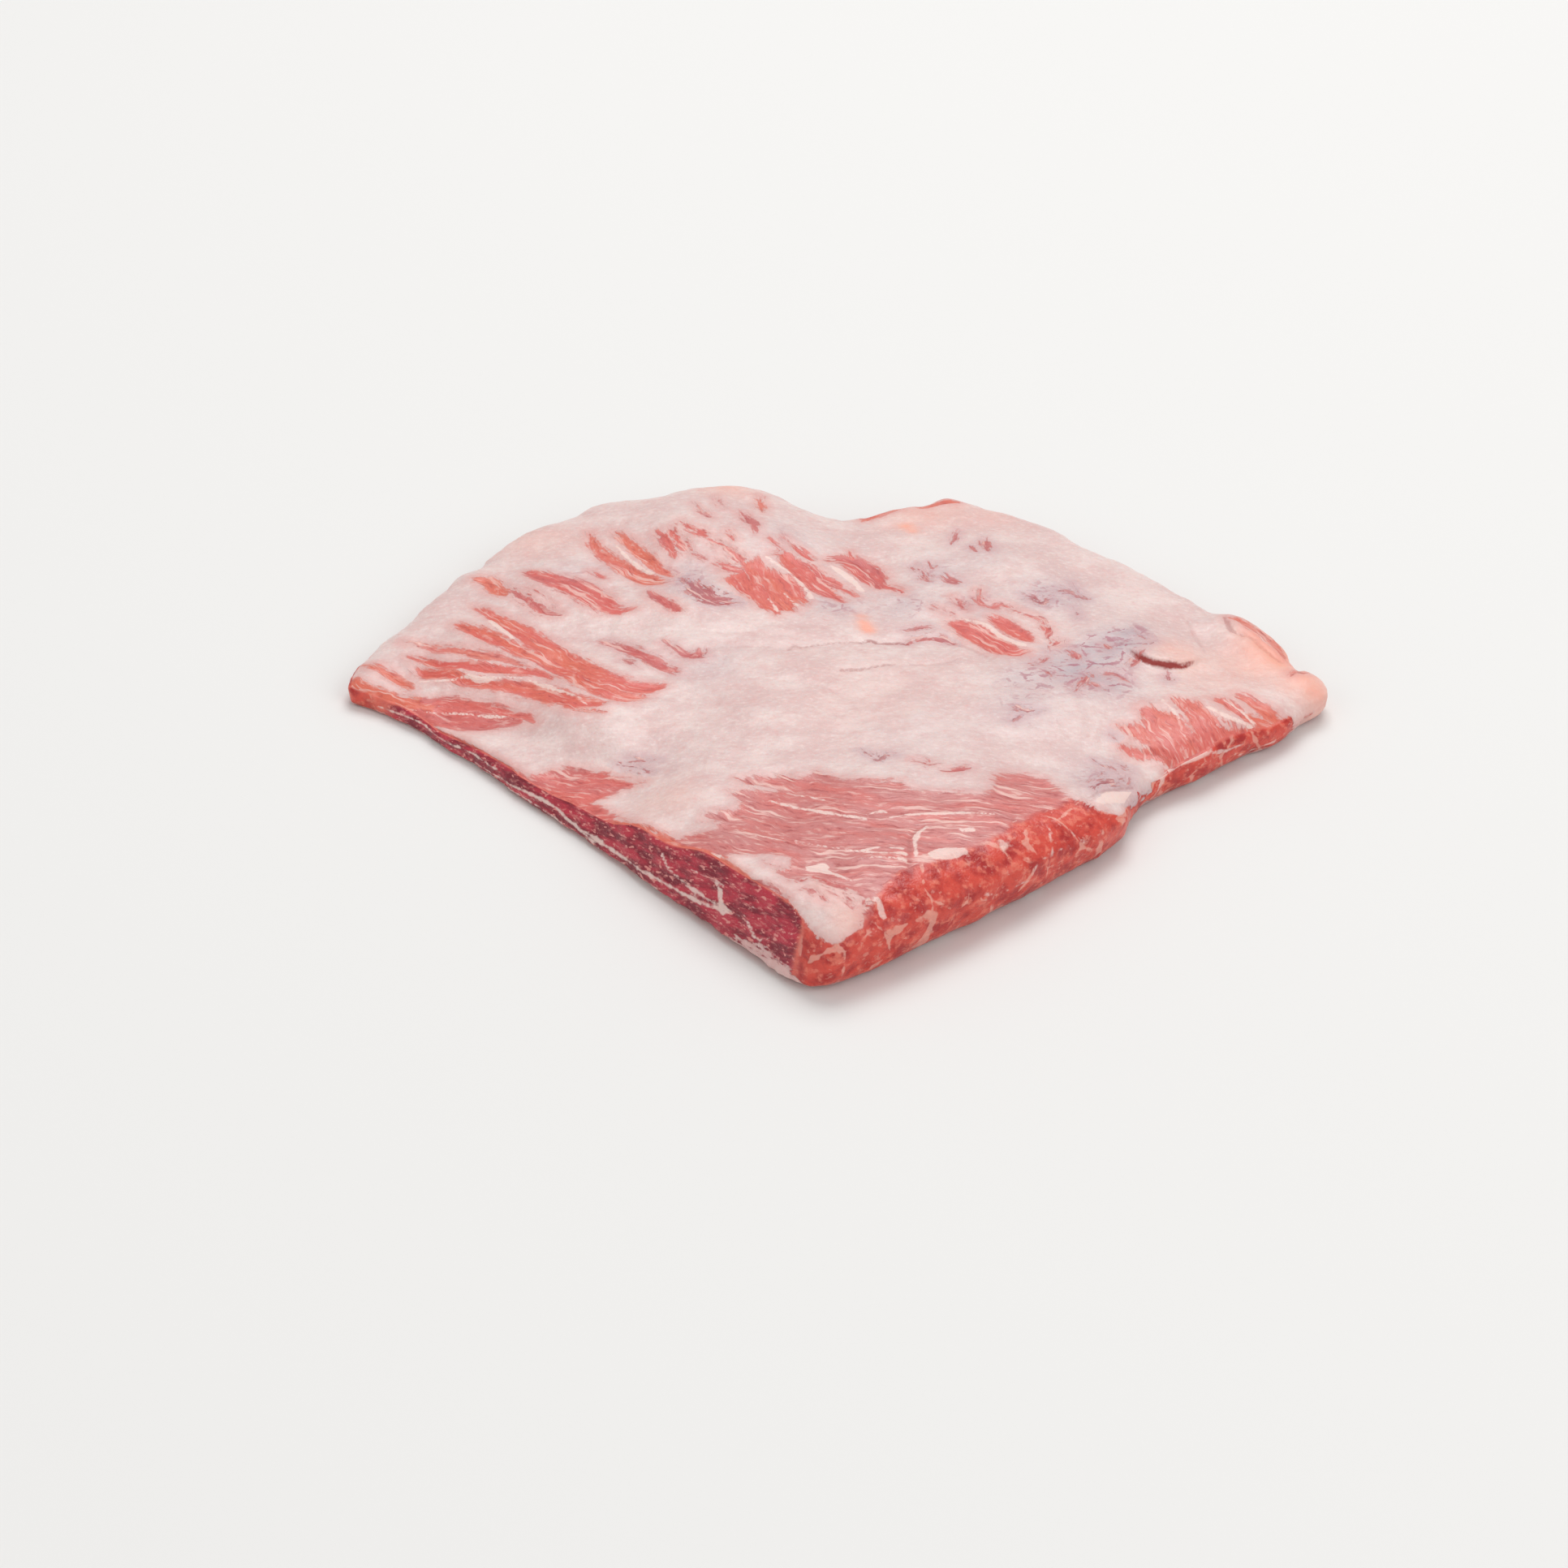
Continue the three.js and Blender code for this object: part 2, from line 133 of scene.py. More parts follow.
@dataclass(frozen=True)
class Stroke:
    """A brush stroke on a plane, such as a streak of muscle or a white seam.

    Attributes:
        path: Stations along its middle, each x, y and half its width there, in millimetres.
        pace: Distance between the smooth curve's own stations.
    """

    path: tuple[tuple[float, float, float], ...]
    pace: float = 2.0

    def samples(self) -> np.ndarray:
        """Stations of a smooth curve through the path, closer together than the path's own.

        Returns:
            Rows of x, y and half width.
        """
        given = np.array(self.path, float)
        if len(given) < 3:
            return given
        ends = np.vstack([2 * given[0] - given[1], given, 2 * given[-1] - given[-2]])
        rows = []
        for k in range(1, len(ends) - 2):
            a, b, c, d = ends[k - 1 : k + 3]
            steps = max(2, int(np.hypot(*(c - b)[:2]) / self.pace) + 1)
            for t in np.arange(steps) / steps:
                bend = 2 * a - 5 * b + 4 * c - d
                twist = -a + 3 * b - 3 * c + d
                rows.append(0.5 * (2 * b + (c - a) * t + bend * t * t + twist * t**3))
        rows.append(given[-1])
        return np.array(rows)

    def reach(self, points: np.ndarray) -> np.ndarray:
        """Which points are near enough to matter.

        Args:
            points: Rows of x and y.

        Returns:
            True or false for each point.
        """
        given = np.array(self.path, float)
        room = given[:, 2].max() + FAR
        low, high = given[:, :2].min(0) - room, given[:, :2].max(0) + room
        return np.all((points >= low) & (points <= high), axis=1)

    def measure(self, points: np.ndarray) -> tuple[np.ndarray, np.ndarray, np.ndarray]:
        """How far inside the stroke some points are, and where along and across it.

        Args:
            points: Rows of x and y.

        Returns:
            Signed distance to its edge, positive inside, then arc length and side offset.
        """
        line = self.samples()
        start, step = line[:-1, :2], np.diff(line[:, :2], axis=0)
        length = np.hypot(step[:, 0], step[:, 1]) + 1e-9
        before = np.concatenate([[0.0], np.cumsum(length)[:-1]])
        best = np.full(len(points), NOWHERE)
        along = np.zeros(len(points))
        across = np.zeros(len(points))
        for k in range(len(step)):
            away = points - start[k]
            raw = (away @ step[k]) / length[k] ** 2
            share = np.clip(raw, 0.0, 1.0)
            gap = np.hypot(*(away - share[:, None] * step[k]).T)
            half = line[k, 2] + share * (line[k + 1, 2] - line[k, 2])
            inside = half - gap
            better = inside > best
            best = np.where(better, inside, best)
            free = raw if len(step) == 1 else np.where((k == 0) | (raw > 0), raw, 0.0)
            along = np.where(better, before[k] + free * length[k], along)
            side = (step[k, 0] * away[:, 1] - step[k, 1] * away[:, 0]) / length[k]
            across = np.where(better, side, across)
        return best, along, across


@dataclass(frozen=True)
class Patch:
    """A closed outline on a plane.

    Attributes:
        corners: Its corners in turn, each x and y, in millimetres.
    """

    corners: tuple[tuple[float, float], ...]

    def measure(self, points: np.ndarray) -> np.ndarray:
        """Signed distance of points to the outline, positive inside.

        Args:
            points: Rows of x and y.

        Returns:
            One distance for each point.
        """
        ring = np.array(self.corners, float)
        gap = np.full(len(points), np.inf)
        inside = np.zeros(len(points), bool)
        for a, b in zip(ring, np.roll(ring, -1, axis=0)):
            step = b - a
            share = np.clip(((points - a) @ step) / (step @ step), 0.0, 1.0)
            gap = np.minimum(gap, np.hypot(*(points - a - share[:, None] * step).T))
            if a[1] != b[1]:
                crosses = (points[:, 1] >= min(a[1], b[1])) & (points[:, 1] < max(a[1], b[1]))
                at = a[0] + (points[:, 1] - a[1]) * step[0] / step[1]
                inside ^= crosses & (points[:, 0] < at)
        return np.where(inside, gap, -gap)


def stroke(*path: tuple[float, float, float]) -> Stroke:
    """A stroke through some stations."""
    return Stroke(tuple(path))


@dataclass(frozen=True)
class Window:
    """A gap in the fat cover where the muscle shows.

    Attributes:
        name: What it is, in plain words.
        tone: Colour of the muscle, from 0, coral orange, to 1, dusky purple.
        film: How milky the thin skin over it is, from 0 to 1.
        mottle: How much flecks of fat break it up, from 0 to 1.
        strokes: Streaks that it is made of. Fibres run along them.
        patch: Outline, for a broad window.
        grain: For a broad window, the line that its fibres follow, as stations of x and y.
    """

    name: str
    tone: float
    film: float
    mottle: float
    strokes: tuple[Stroke, ...] = ()
    patch: Patch | None = None
    grain: tuple[tuple[float, float], ...] = ()


# ---------------------------------------------------------------- what shows on this slab


WINDOWS = (
    Window("fan streaks", 0.22, 0.02, 0.06, (
        stroke((-99, 51, 0.5), (-95, 46, 1.8), (-90, 40, 2.8), (-85, 34.5, 3.6), (-80, 28, 3.8),
               (-75, 22, 3.6), (-70, 16, 3.6), (-64, 9, 3.9), (-57, 4, 3.6), (-50, 3, 2.8), (-46.5, 4, 1.2)),
        stroke((-103.5, 42, 0.9), (-100, 38, 2), (-95, 33.5, 2.8), (-90, 29, 2.2), (-85, 24.5, 2.6),
               (-80, 20.5, 2.5), (-74, 15, 2.8), (-68, 8, 3.2), (-62, 1, 3), (-56, -2, 2.5), (-51, -1.5, 1)),
        stroke((-115, 27.5, 0.7), (-111, 25.5, 1.2), (-106, 22, 1.9), (-100, 20, 2), (-93, 17.5, 2.1),
               (-86, 16, 2.1), (-80, 14.5, 1.4), (-76, 11, 0.8)),
    )),
    Window("fan pale streak", 0.15, 0.55, 0.25, (
        stroke((-118, 35, 0.5), (-112, 33, 0.9), (-108, 30, 1.9), (-103, 28, 2.1), (-97, 24.5, 2.4),
               (-90, 21.5, 1.8), (-84, 18, 0.8)),
    )),
    Window("fan front streak", 0.15, 0.04, 0.12, (
        stroke((-113, 23, 0.8), (-110, 20, 2.1), (-104, 17.5, 2.1), (-98, 13.5, 1.8), (-92, 11.5, 1.8),
               (-86, 9.5, 2.4), (-80, 6.5, 3.1), (-75, 2, 3.3), (-70, -3, 3.1), (-65, -4.5, 2.2),
               (-61.5, -5, 1)),
        stroke((-71, -5.5, 0.5), (-65, -8, 0.7), (-61, -9, 0.4)),
    )),
    Window("tip streaks", 0.0, 0.05, 0.1, (
        stroke((-127.5, 25.5, 0.8), (-122, 22, 1.6), (-117.5, 18, 1.6), (-114, 15, 0.8)),
        stroke((-130, 18, 2.2), (-127, 15, 2.8), (-120, 11, 3), (-114, 8, 3.5), (-108, 5, 3.6)),
    )),
    Window("tip fan", 0.38, 0.25, 0.05, (
        stroke((-112, 6, 3.6), (-106, 3.5, 4.3), (-101, 1.5, 4.8), (-96, -1, 4.2), (-90, -2.5, 2.6),
               (-84, -3.5, 1.4)),
        stroke((-111, 8.5, 2), (-104, 8, 2), (-97, 5, 2.3), (-91, 2.5, 2.2), (-86, -0.5, 1.7),
               (-82, -3, 1.1), (-79, -6.5, 0.3)),
    )),
    Window("thin edge", 0.35, 0.1, 0.1, (
        stroke((-124, 12.5, 0.7), (-115, 4.5, 1), (-108, -1.5, 1.1), (-100, -9.5, 1), (-90, -20, 0.8),
               (-80, -30.5, 0.8)),
    )),
    Window("cut edge patch", 0.42, 0.3, 0.05, patch=Patch((
        (-82, -29), (-77, -28), (-74, -26.7), (-70, -26.5), (-65, -28.5), (-60, -31), (-57, -34),
        (-53, -36.8), (-49, -38.4), (-55, -38.8), (-60, -42), (-63, -43.6), (-60, -47), (-56, -52),
        (-58, -55), (-64, -50), (-71, -42), (-80, -33))), grain=((-84, -26), (-70, -35), (-46, -44))),
    Window("cut edge rim", 0.0, 0.1, 0.15, (
        stroke((-58, -53, 0.8), (-52, -60.2, 1.1), (-46, -67.4, 1.5), (-41, -72.6, 2), (-35, -79.6, 2),
               (-30, -84.8, 1.3), (-24, -92, 0.8)),
    )),
    Window("flecks by the patch", 0.95, 0.4, 0.4, (
        stroke((-57, -29, 0.5), (-52, -31, 0.7), (-48, -35, 0.5)),
        stroke((-55, -27, 0.4), (-50, -28.5, 0.9), (-46, -30, 0.5)),
    )),
    Window("shoulder tag", 0.0, 0.15, 0.15, (
        stroke((-99.5, 66, 1.3), (-96, 64.5, 2.6), (-93, 59, 2.6), (-91, 56, 1.6)),
    )),
    Window("shoulder streak", 0.5, 0.35, 0.35, (
        stroke((-89.5, 57, 0.7), (-86, 52, 1.7), (-82, 48, 1.7), (-79, 44, 1.9), (-75.5, 42.5, 0.9)),
        stroke((-86, 56.5, 0.3), (-80.5, 51.5, 0.5), (-77, 46, 0.5)),
    )),
    Window("back streak", 0.4, 0.12, 0.05, (
        stroke((-86, 66.5, 0.8), (-83, 63.5, 2.4), (-79, 60, 3.6), (-74, 57, 4.2), (-69, 53, 4.6),
               (-65, 48, 4.4), (-61.5, 43.8, 3), (-57.5, 42, 1.3), (-54.5, 42.8, 0.4)),
        stroke((-67.5, 65, 0.6), (-65, 62, 1), (-63.5, 60.8, 0.4)),
    )),
    Window("paired streaks", 0.12, 0.2, 0.12, (
        stroke((-69, 88, 0.8), (-67.5, 81, 1.8), (-64.5, 74.5, 2.3), (-60, 68, 2.5), (-56, 63, 2.9),
               (-52, 58.5, 2.9), (-49, 56.5, 1.9), (-46.5, 56, 0.6)),
        stroke((-62, 87, 0.6), (-59.5, 82, 1.6), (-56, 76, 2.1), (-53, 71, 2.3), (-50, 65.5, 1.9),
               (-47, 61.5, 1.8), (-45, 59.3, 0.7)),
    )),
    Window("crest streaks", 0.35, 0.25, 0.35, (
        stroke((-50, 82, 0.8), (-47.5, 77, 2.2), (-46, 73, 1.6), (-44.5, 68.3, 0.8)),
        stroke((-46.5, 83.5, 0.6), (-45, 79, 1.7), (-43, 74.5, 1.9), (-41, 71, 0.8)),
        stroke((-43, 86, 0.6), (-40.5, 81, 1.5), (-38, 79, 2), (-35.8, 77.3, 0.9)),
        stroke((-34.5, 75, 0.8), (-32, 73, 1.5), (-29, 69.5, 1.4), (-26, 66.5, 1.5)),
        stroke((-30, 78.5, 0.6), (-28.5, 74.8, 0.9)),
        stroke((-32.3, 65, 1.4), (-29, 62.5, 2.2), (-26, 61.5, 1.8)),
    )),
    Window("crest oval", 0.22, 0.08, 0.03, patch=Patch((
        (-27, 66.6), (-24, 66), (-20.8, 67.6), (-18.4, 63.2), (-15, 60.6), (-11.2, 58.6), (-9.4, 55),
        (-7.8, 50), (-7.2, 46), (-8.4, 43.3), (-10.2, 46.6), (-11.4, 40.3), (-14.8, 39.8), (-16.4, 37.4),
        (-18.2, 40.2), (-21, 41.2), (-22.6, 45), (-25.2, 47.6), (-28, 52), (-30.4, 55.6), (-29.4, 58.8),
        (-27.4, 61), (-25.6, 62.4))), grain=((-33, 80), (-24, 62), (-15, 46), (-6, 31))),
    Window("mottled streak", 0.85, 0.45, 0.6, (
        stroke((-41, 56, 1.4), (-37.6, 50.5, 3.4), (-34.3, 46.4, 3.9), (-31, 45.2, 3.4), (-27, 44.2, 1.4)),
    )),
    Window("single streak", 0.5, 0.15, 0.1, (
        stroke((-51, 50.8, 0.6), (-49.5, 48, 1.5), (-46.5, 44.5, 1.9), (-43.3, 40.4, 1.3)),
    )),
    Window("middle streaks", 0.62, 0.2, 0.08, (
        stroke((-62.5, 27.8, 0.7), (-57, 24, 1.8), (-52, 19.5, 2), (-47, 14.5, 2.2), (-43, 11.5, 1.2)),
        stroke((-57, 18, 0.4), (-54.5, 15.5, 0.5), (-53, 13, 0.3)),
        stroke((-46.4, 25.4, 0.8), (-43, 22, 1.1), (-40.5, 19.5, 1.6), (-37.2, 18.6, 1.9), (-36.6, 20.5, 1)),
    )),
    Window("second crest streak", 0.34, 0.12, 0.12, (
        stroke((-17.5, 70, 0.7), (-14, 70.5, 1.8), (-12, 67.2, 3.3), (-8.8, 62, 4.1), (-5.5, 57.5, 4.5),
               (-3.2, 53.5, 3.4), (-0.5, 50.5, 1.7), (2.2, 48.4, 1)),
        stroke((-8, 68, 1.2), (-4.5, 63, 1.8), (-1, 59.5, 1.6), (2.5, 55, 1.5), (5.4, 51.2, 0.7)),
        stroke((-14, 79, 0.7), (-11.5, 76, 1.2), (-8.5, 73, 1.9), (-6.3, 70.6, 1.2)),
        stroke((-18.5, 77, 0.5), (-16, 74.5, 1), (-15, 73.3, 0.5)),
    )),
    Window("valley streak", 0.38, 0.12, 0.15, (
        stroke((-1.8, 71, 1.2), (2, 72.3, 2.2), (5, 71.3, 3.8), (8.2, 67.5, 4.6), (10.6, 62.6, 3.9),
               (12, 58.2, 2.3)),
        stroke((4.2, 77.6, 0.6), (5, 74, 1.6)),
        stroke((11.5, 58.4, 1.8), (15, 57.4, 1.5), (17.4, 55, 1.1), (18, 53.4, 0.4)),
    )),
    Window("crest dashes", 0.55, 0.35, 0.25, (
        stroke((-26, 91, 0.7), (-24.5, 87.5, 1.6), (-22.5, 83.5, 1.4), (-21.8, 79, 0.6)),
        stroke((-40, 98.5, 0.4), (-38, 93, 0.7), (-36, 89, 0.9), (-34.5, 87, 0.4)),
        stroke((-34, 103, 0.4), (-32.5, 97, 0.7), (-31, 93, 0.4)),
        stroke((-39.5, 69.5, 0.4), (-37.5, 68, 0.7), (-36, 66.5, 0.4)),
    )),
    Window("crest orange dash", 0.0, 0.3, 0.2, (
        stroke((-20.8, 105, 0.9), (-20.6, 99, 1.5), (-20.3, 94, 0.6)),
    )),
    Window("right ovals", 0.3, 0.06, 0.05, (
        stroke((31.6, 37, 1.5), (33.6, 35.6, 2.8), (36.4, 32.4, 3.9), (39.7, 28, 4.1), (43.2, 23.7, 4),
               (46.6, 20.2, 3.1), (50.6, 20.2, 1.1)),
        stroke((42.2, 38.8, 1.1), (44, 37.4, 2.6), (47, 33, 3), (50, 28.6, 2.8), (52, 26.4, 1.3)),
    )),
    Window("arc by the ovals", 0.5, 0.4, 0.4, (
        stroke((39, 53.6, 0.5), (38.6, 49, 1.1), (41.5, 45.5, 1.6), (45.5, 46, 1.1), (49, 43, 0.7)),
        stroke((51, 41, 0.8), (55, 38, 1.2), (57, 33, 1.5), (57, 29, 0.9)),
        stroke((32.4, 50.4, 0.6), (34, 46.5, 1.2), (36, 43.3, 0.9)),
        stroke((26.8, 44.8, 0.6), (29.5, 42.5, 1.3), (31.2, 40.8, 0.6)),
        stroke((58.2, 28.6, 0.5), (59.4, 26, 1.5), (58.2, 24, 0.7)),
    )),
    Window("red flecks", 0.72, 0.35, 0.3, (
        stroke((21.8, 69.4, 0.6), (23.5, 65.5, 1.1), (25, 62, 1.6), (26, 60, 0.6)),
        stroke((26, 69.4, 0.7), (26.5, 66.8, 1)),
        stroke((30.4, 61.6, 1), (31.6, 60, 1.7), (34, 58, 1)),
        stroke((42.5, 86, 0.4), (42, 81, 1.9), (43, 76, 1)),
        stroke((38.2, 79.5, 0.9), (39, 76.6, 0.5)),
        stroke((34.8, 91, 0.4), (34, 86, 0.8), (33, 82, 0.6)),
        stroke((19, 26.4, 1.4), (22, 28, 1.3), (25, 28.8, 1.1), (27.6, 29, 1.9), (31.4, 26.4, 0.7)),
        stroke((18.6, 32.6, 0.9), (20.6, 33, 0.7), (22.6, 34.4, 1.2), (25.6, 34, 0.6)),
        stroke((56.2, 22.6, 0.5), (56.6, 20.8, 0.8)),
        stroke((55.6, 17.4, 0.9), (54, 14, 0.9), (52, 12, 0.6)),
        stroke((62.6, 20.4, 0.7), (64, 18.2, 1.5), (64, 16.2, 0.7)),
        stroke((72, 23.6, 0.8), (72.6, 22.2, 0.5)),
        stroke((78, 13.4, 0.6), (79.4, 16, 0.9), (80.6, 18.6, 0.7)),
        stroke((71.6, 8.6, 0.9), (74, 9, 1.3), (76.4, 7, 1), (77.2, 5.6, 0.4)),
        stroke((62.2, -2.4, 0.4), (63, 1, 0.9), (64.6, 3.6, 1.1), (65.6, 5.8, 0.7)),
        stroke((65.8, 3, 0.7), (68.4, 2, 0.9), (70.2, 0.4, 0.4)),
        stroke((56, 8, 0.7), (56.8, 6, 0.5)),
        stroke((66.6, 8.8, 0.6), (67.4, 7, 0.5)),
    )),
    Window("purple flecks", 1.0, 0.55, 0.45, (
        stroke((51.8, 51, 0.7), (54, 50, 1.6), (56, 47.4, 1.1), (58.4, 49, 0.7)),
        stroke((60.8, 54.4, 0.5), (63, 54.6, 0.7), (66, 52, 0.7), (68.6, 51.4, 0.8)),
        stroke((65.4, 60, 0.3), (66.4, 56, 0.5), (68.4, 52.6, 0.4)),
        stroke((65, 45, 0.4), (66, 39, 0.3)),
        stroke((64.2, -47, 1), (65, -45, 1.5), (66.6, -42.6, 1.5), (69.4, -41, 1.2), (71.4, -40, 0.5)),
        stroke((68, -36, 0.6), (67, -38, 0.9), (66.4, -39.6, 0.5)),
        stroke((66, -31.4, 0.4), (68.6, -33.6, 0.7), (70, -35.4, 0.5)),
        stroke((71.4, -31.4, 0.6), (73.6, -33, 0.9), (75.4, -32, 0.5)),
        stroke((74, -37, 0.6), (73, -38.6, 1), (71, -39.6, 0.5)),
        stroke((71, -18.8, 0.5), (72.4, -20.6, 0.6)),
        stroke((87.6, 10.6, 0.6), (87.8, 8.6, 0.9), (87, 7, 0.4)),
        stroke((81.2, 31, 0.3), (82, 28.6, 0.5), (84.4, 26, 0.7), (83, 23.4, 0.4)),
        stroke((46.8, -11, 0.8), (49.2, -13, 0.8), (52.6, -11.8, 0.4)),
        stroke((46.4, -15.6, 0.8), (45, -17, 0.4)),
        stroke((6, -33.4, 0.5), (9.6, -39.6, 0.9), (11.4, -36.4, 0.9), (14, -36.8, 0.5)),
    )),
    Window("flecks over the front", 0.6, 0.3, 0.3, (
        stroke((18.6, -40, 0.6), (21, -40.6, 1.5), (22.6, -42.6, 1.2), (24.6, -42, 0.5)),
        stroke((27, -45.4, 0.9), (29.6, -44.8, 2), (32.4, -43.4, 1.2)),
    )),
    Window("lobe patches", 0.25, 0.25, 0.25, (
        stroke((80.4, -8.4, 2.2), (83, -12, 4.2), (85, -17, 6.2), (86.2, -22, 6), (87.4, -27, 3.4)),
        stroke((73.6, -15.4, 1), (76, -16.4, 2.2), (80, -18, 3.6), (84, -20, 4)),
        stroke((73.6, -23, 1.4), (78, -25, 2.1), (83, -25.4, 2.2)),
        stroke((88.6, -3.8, 1.2), (91, -6, 3), (93.6, -10, 3.8), (95.4, -14, 4.6), (96.4, -19, 4.6),
               (92, -23, 4), (90, -27, 2)),
        stroke((99, -2.6, 1), (101.6, -2, 2.2), (104, -5, 2.1), (106.4, -8.4, 1)),
        stroke((98.6, -11.8, 0.8), (103, -12.6, 1.2), (106.4, -13.4, 0.7)),
        stroke((98, -16, 2), (103, -15.4, 2), (108, -11.6, 1.6)),
    ), grain=((84, -4), (92, -21))),
    Window("knob streaks", 0.12, 0.15, 0.15, (
        stroke((105.4, 2.4, 1), (107.6, 1.4, 2), (110.4, -1.6, 2.5), (113.4, -4, 2.6), (116.4, -5.8, 1.6)),
        stroke((107, -8, 1.6), (110.4, -7.4, 2.4), (113.6, -7.6, 2)),
    )),
    Window("right rim", 0.0, 0.5, 0.3, (
        stroke((107.4, 46, 0.8), (111, 42.8, 2.2), (115.4, 37.8, 2.6), (119.6, 32, 2.6), (122.6, 26.6, 2.1),
               (124.4, 21.6, 0.9)),
        stroke((121, 15, 0.4), (123, 17.6, 1), (126, 18.8, 0.8)),
    )),
    Window("back edge tags", 0.05, 0.0, 0.1, (
        stroke((9, 101.4, 2), (12, 104.6, 3.6), (15.6, 107.6, 3.8), (19, 109, 2)),
        stroke((25, 107, 1), (28.6, 109.4, 2.2), (32.6, 110.6, 2.2), (36, 110, 1)),
    )),
    Window("front field", 0.55, 0.75, 0.12, patch=Patch((
        (-26.4, -45.6), (-22, -44.4), (-15, -44.4), (-9, -45.7), (-6, -43.4), (-1.4, -48), (1, -49.6),
        (8, -50.6), (15, -51.6), (16.6, -54.6), (20, -56.4), (30, -56.4), (35, -57), (38, -55), (38.4, -50),
        (39.4, -46), (42, -43), (47, -42.3), (52, -43), (54.6, -47), (56.6, -52), (58.6, -54), (76, -58),
        (50, -92), (12, -118), (5.6, -112.4), (4.2, -108), (7, -104.6), (0.4, -100.4), (-5, -97.6),
        (-8, -95), (-13, -96.4), (-17, -91.4), (-13, -90.4), (-13, -86), (-17, -83.7), (-24, -83.4),
        (-30, -83.8), (-37, -78), (-43.6, -70.6), (-40, -69.4), (-31, -69.4), (-29.4, -66), (-34.4, -63.6),
        (-34, -61.4), (-28.2, -60.8), (-25, -59), (-25.6, -57), (-27.4, -53.6), (-28, -51.5), (-22, -51),
        (-16.4, -51.7), (-17.4, -49.6), (-24, -48.7))),
        grain=((-45, -28), (-30, -38.5), (-20, -45.5), (-10, -51.8), (0, -56.2), (10, -58.6), (20, -59.4),
               (35, -59.8), (70, -62))),
    Window("lobe flecks", 0.55, 0.3, 0.35, (
        stroke((-19, -88.4, 0.4), (-15.4, -89.6, 0.9), (-12, -91, 0.5)),
        stroke((-21, -95.4, 0.3), (-17, -98, 0.6), (-13.6, -102.4, 0.4)),
        stroke((-14, -91.4, 0.7), (-12.4, -93.6, 1.3), (-10, -96, 1.2)),
        stroke((-9.4, -92.6, 0.9), (-5.6, -96, 1.4), (-2.6, -98, 1.9), (0.4, -99.6, 1.5)),
        stroke((-3.4, -101.6, 0.5), (0, -103.6, 1.1), (2.6, -106.6, 0.7)),
        stroke((-9.4, -99.4, 0.4), (-6.6, -101.4, 0.8), (-4.6, -105, 0.5)),
        stroke((3.4, -99.4, 0.8), (5.4, -102.6, 1), (5.6, -106, 0.8)),
    )),
)


# White fat that crosses or lies on the muscle: seams, chips and folds on the top.
TOP_SEAMS = (
    stroke((-109, 5, 0.5), (-100, 3.2, 0.6), (-93, 0.6, 0.5), (-87, -1, 0.4)),
    stroke((-85, 12.4, 0.5), (-78, 8.4, 0.7), (-73, 3.4, 0.7), (-67.6, -2.4, 0.6), (-66, -5, 0.4)),
    stroke((-94, 41, 0.9), (-90, 34.6, 1), (-86.6, 29.6, 0.6)),
    stroke((-112, 17, 0.5), (-104, 15.4, 0.5), (-99, 15.6, 0.8), (-95, 13.6, 0.9), (-88, 13.2, 0.6),
           (-80, 10.6, 0.5)),
    stroke((-61, 78, 0.5), (-57.6, 71, 0.7), (-54.6, 66, 0.8), (-50.6, 61.4, 0.6)),
    stroke((-14.6, 51, 0.4), (-12.6, 47, 0.5), (-10.8, 43, 0.5)),
    stroke((-18.6, 47, 0.3), (-16.8, 43.4, 0.5), (-15.6, 39.6, 0.5)),
    stroke((-19, 68, 0.6), (-13, 61.4, 0.7), (-9, 55, 0.8), (-6.6, 48, 0.7)),
    stroke((-1, 67.6, 0.7), (2.4, 64, 1.2), (5.4, 59, 1.3), (7, 55, 0.9)),
    stroke((33.6, 39, 0.4), (40.4, 34.6, 0.9), (44, 29.4, 1), (48, 24.6, 0.9), (52, 22, 0.6)),
    stroke((-18, -56, 0.5), (-12, -60, 0.8), (-5, -64.4, 0.8), (0, -67.2, 0.8), (6, -69.4, 0.6)),
    stroke((-14, -52.6, 0.4), (-8, -56, 0.5), (-4, -59, 0.4)),
    stroke((6.4, -67.4, 0.5), (10, -65.8, 0.8), (12.8, -67.4, 0.5)),
    stroke((12, -69, 0.4), (17, -67.6, 0.7), (24, -67, 0.7), (31, -66.4, 0.6), (38, -66, 0.4)),
    stroke((-12, -77, 0.3), (-3, -82, 0.4), (6, -85.4, 0.5), (15.6, -86, 0.6)),
    stroke((4, -88.6, 0.4), (9, -88, 0.6), (15.6, -88.8, 0.6)),
    stroke((5, -84.6, 0.5), (9.6, -83.2, 0.5), (15, -84, 0.5)),
    stroke((21.4, -72.4, 0.5), (18.6, -76.4, 0.7), (18, -82, 0.7), (18.2, -87, 0.5)),
    stroke((-24, -72, 0.3), (-16, -76, 0.4), (-8, -80, 0.3)),
    stroke((-6, -90.4, 1.6), (-2, -93.6, 0.8), (2, -97, 0.4)),
    stroke((97, -7.4, 0.8), (102, -10, 1), (108.4, -10.4, 0.8)),
    stroke((101.6, -1, 0.4), (105, -4.6, 0.7), (109, -9, 0.7)),
    stroke((85, -4, 0.4), (87.6, -9.6, 0.7), (89, -13, 0.5)),
    stroke((-38, -76.4, 0.4), (-33, -81, 0.6), (-30, -83.4, 0.6)),
    stroke((6, -104, 0.8), (8.4, -103.4, 1), (9.6, -107, 0.9), (12.6, -109.4, 0.5)),
    stroke((2.4, -104.6, 0.5), (5.6, -107.2, 0.5)),
)
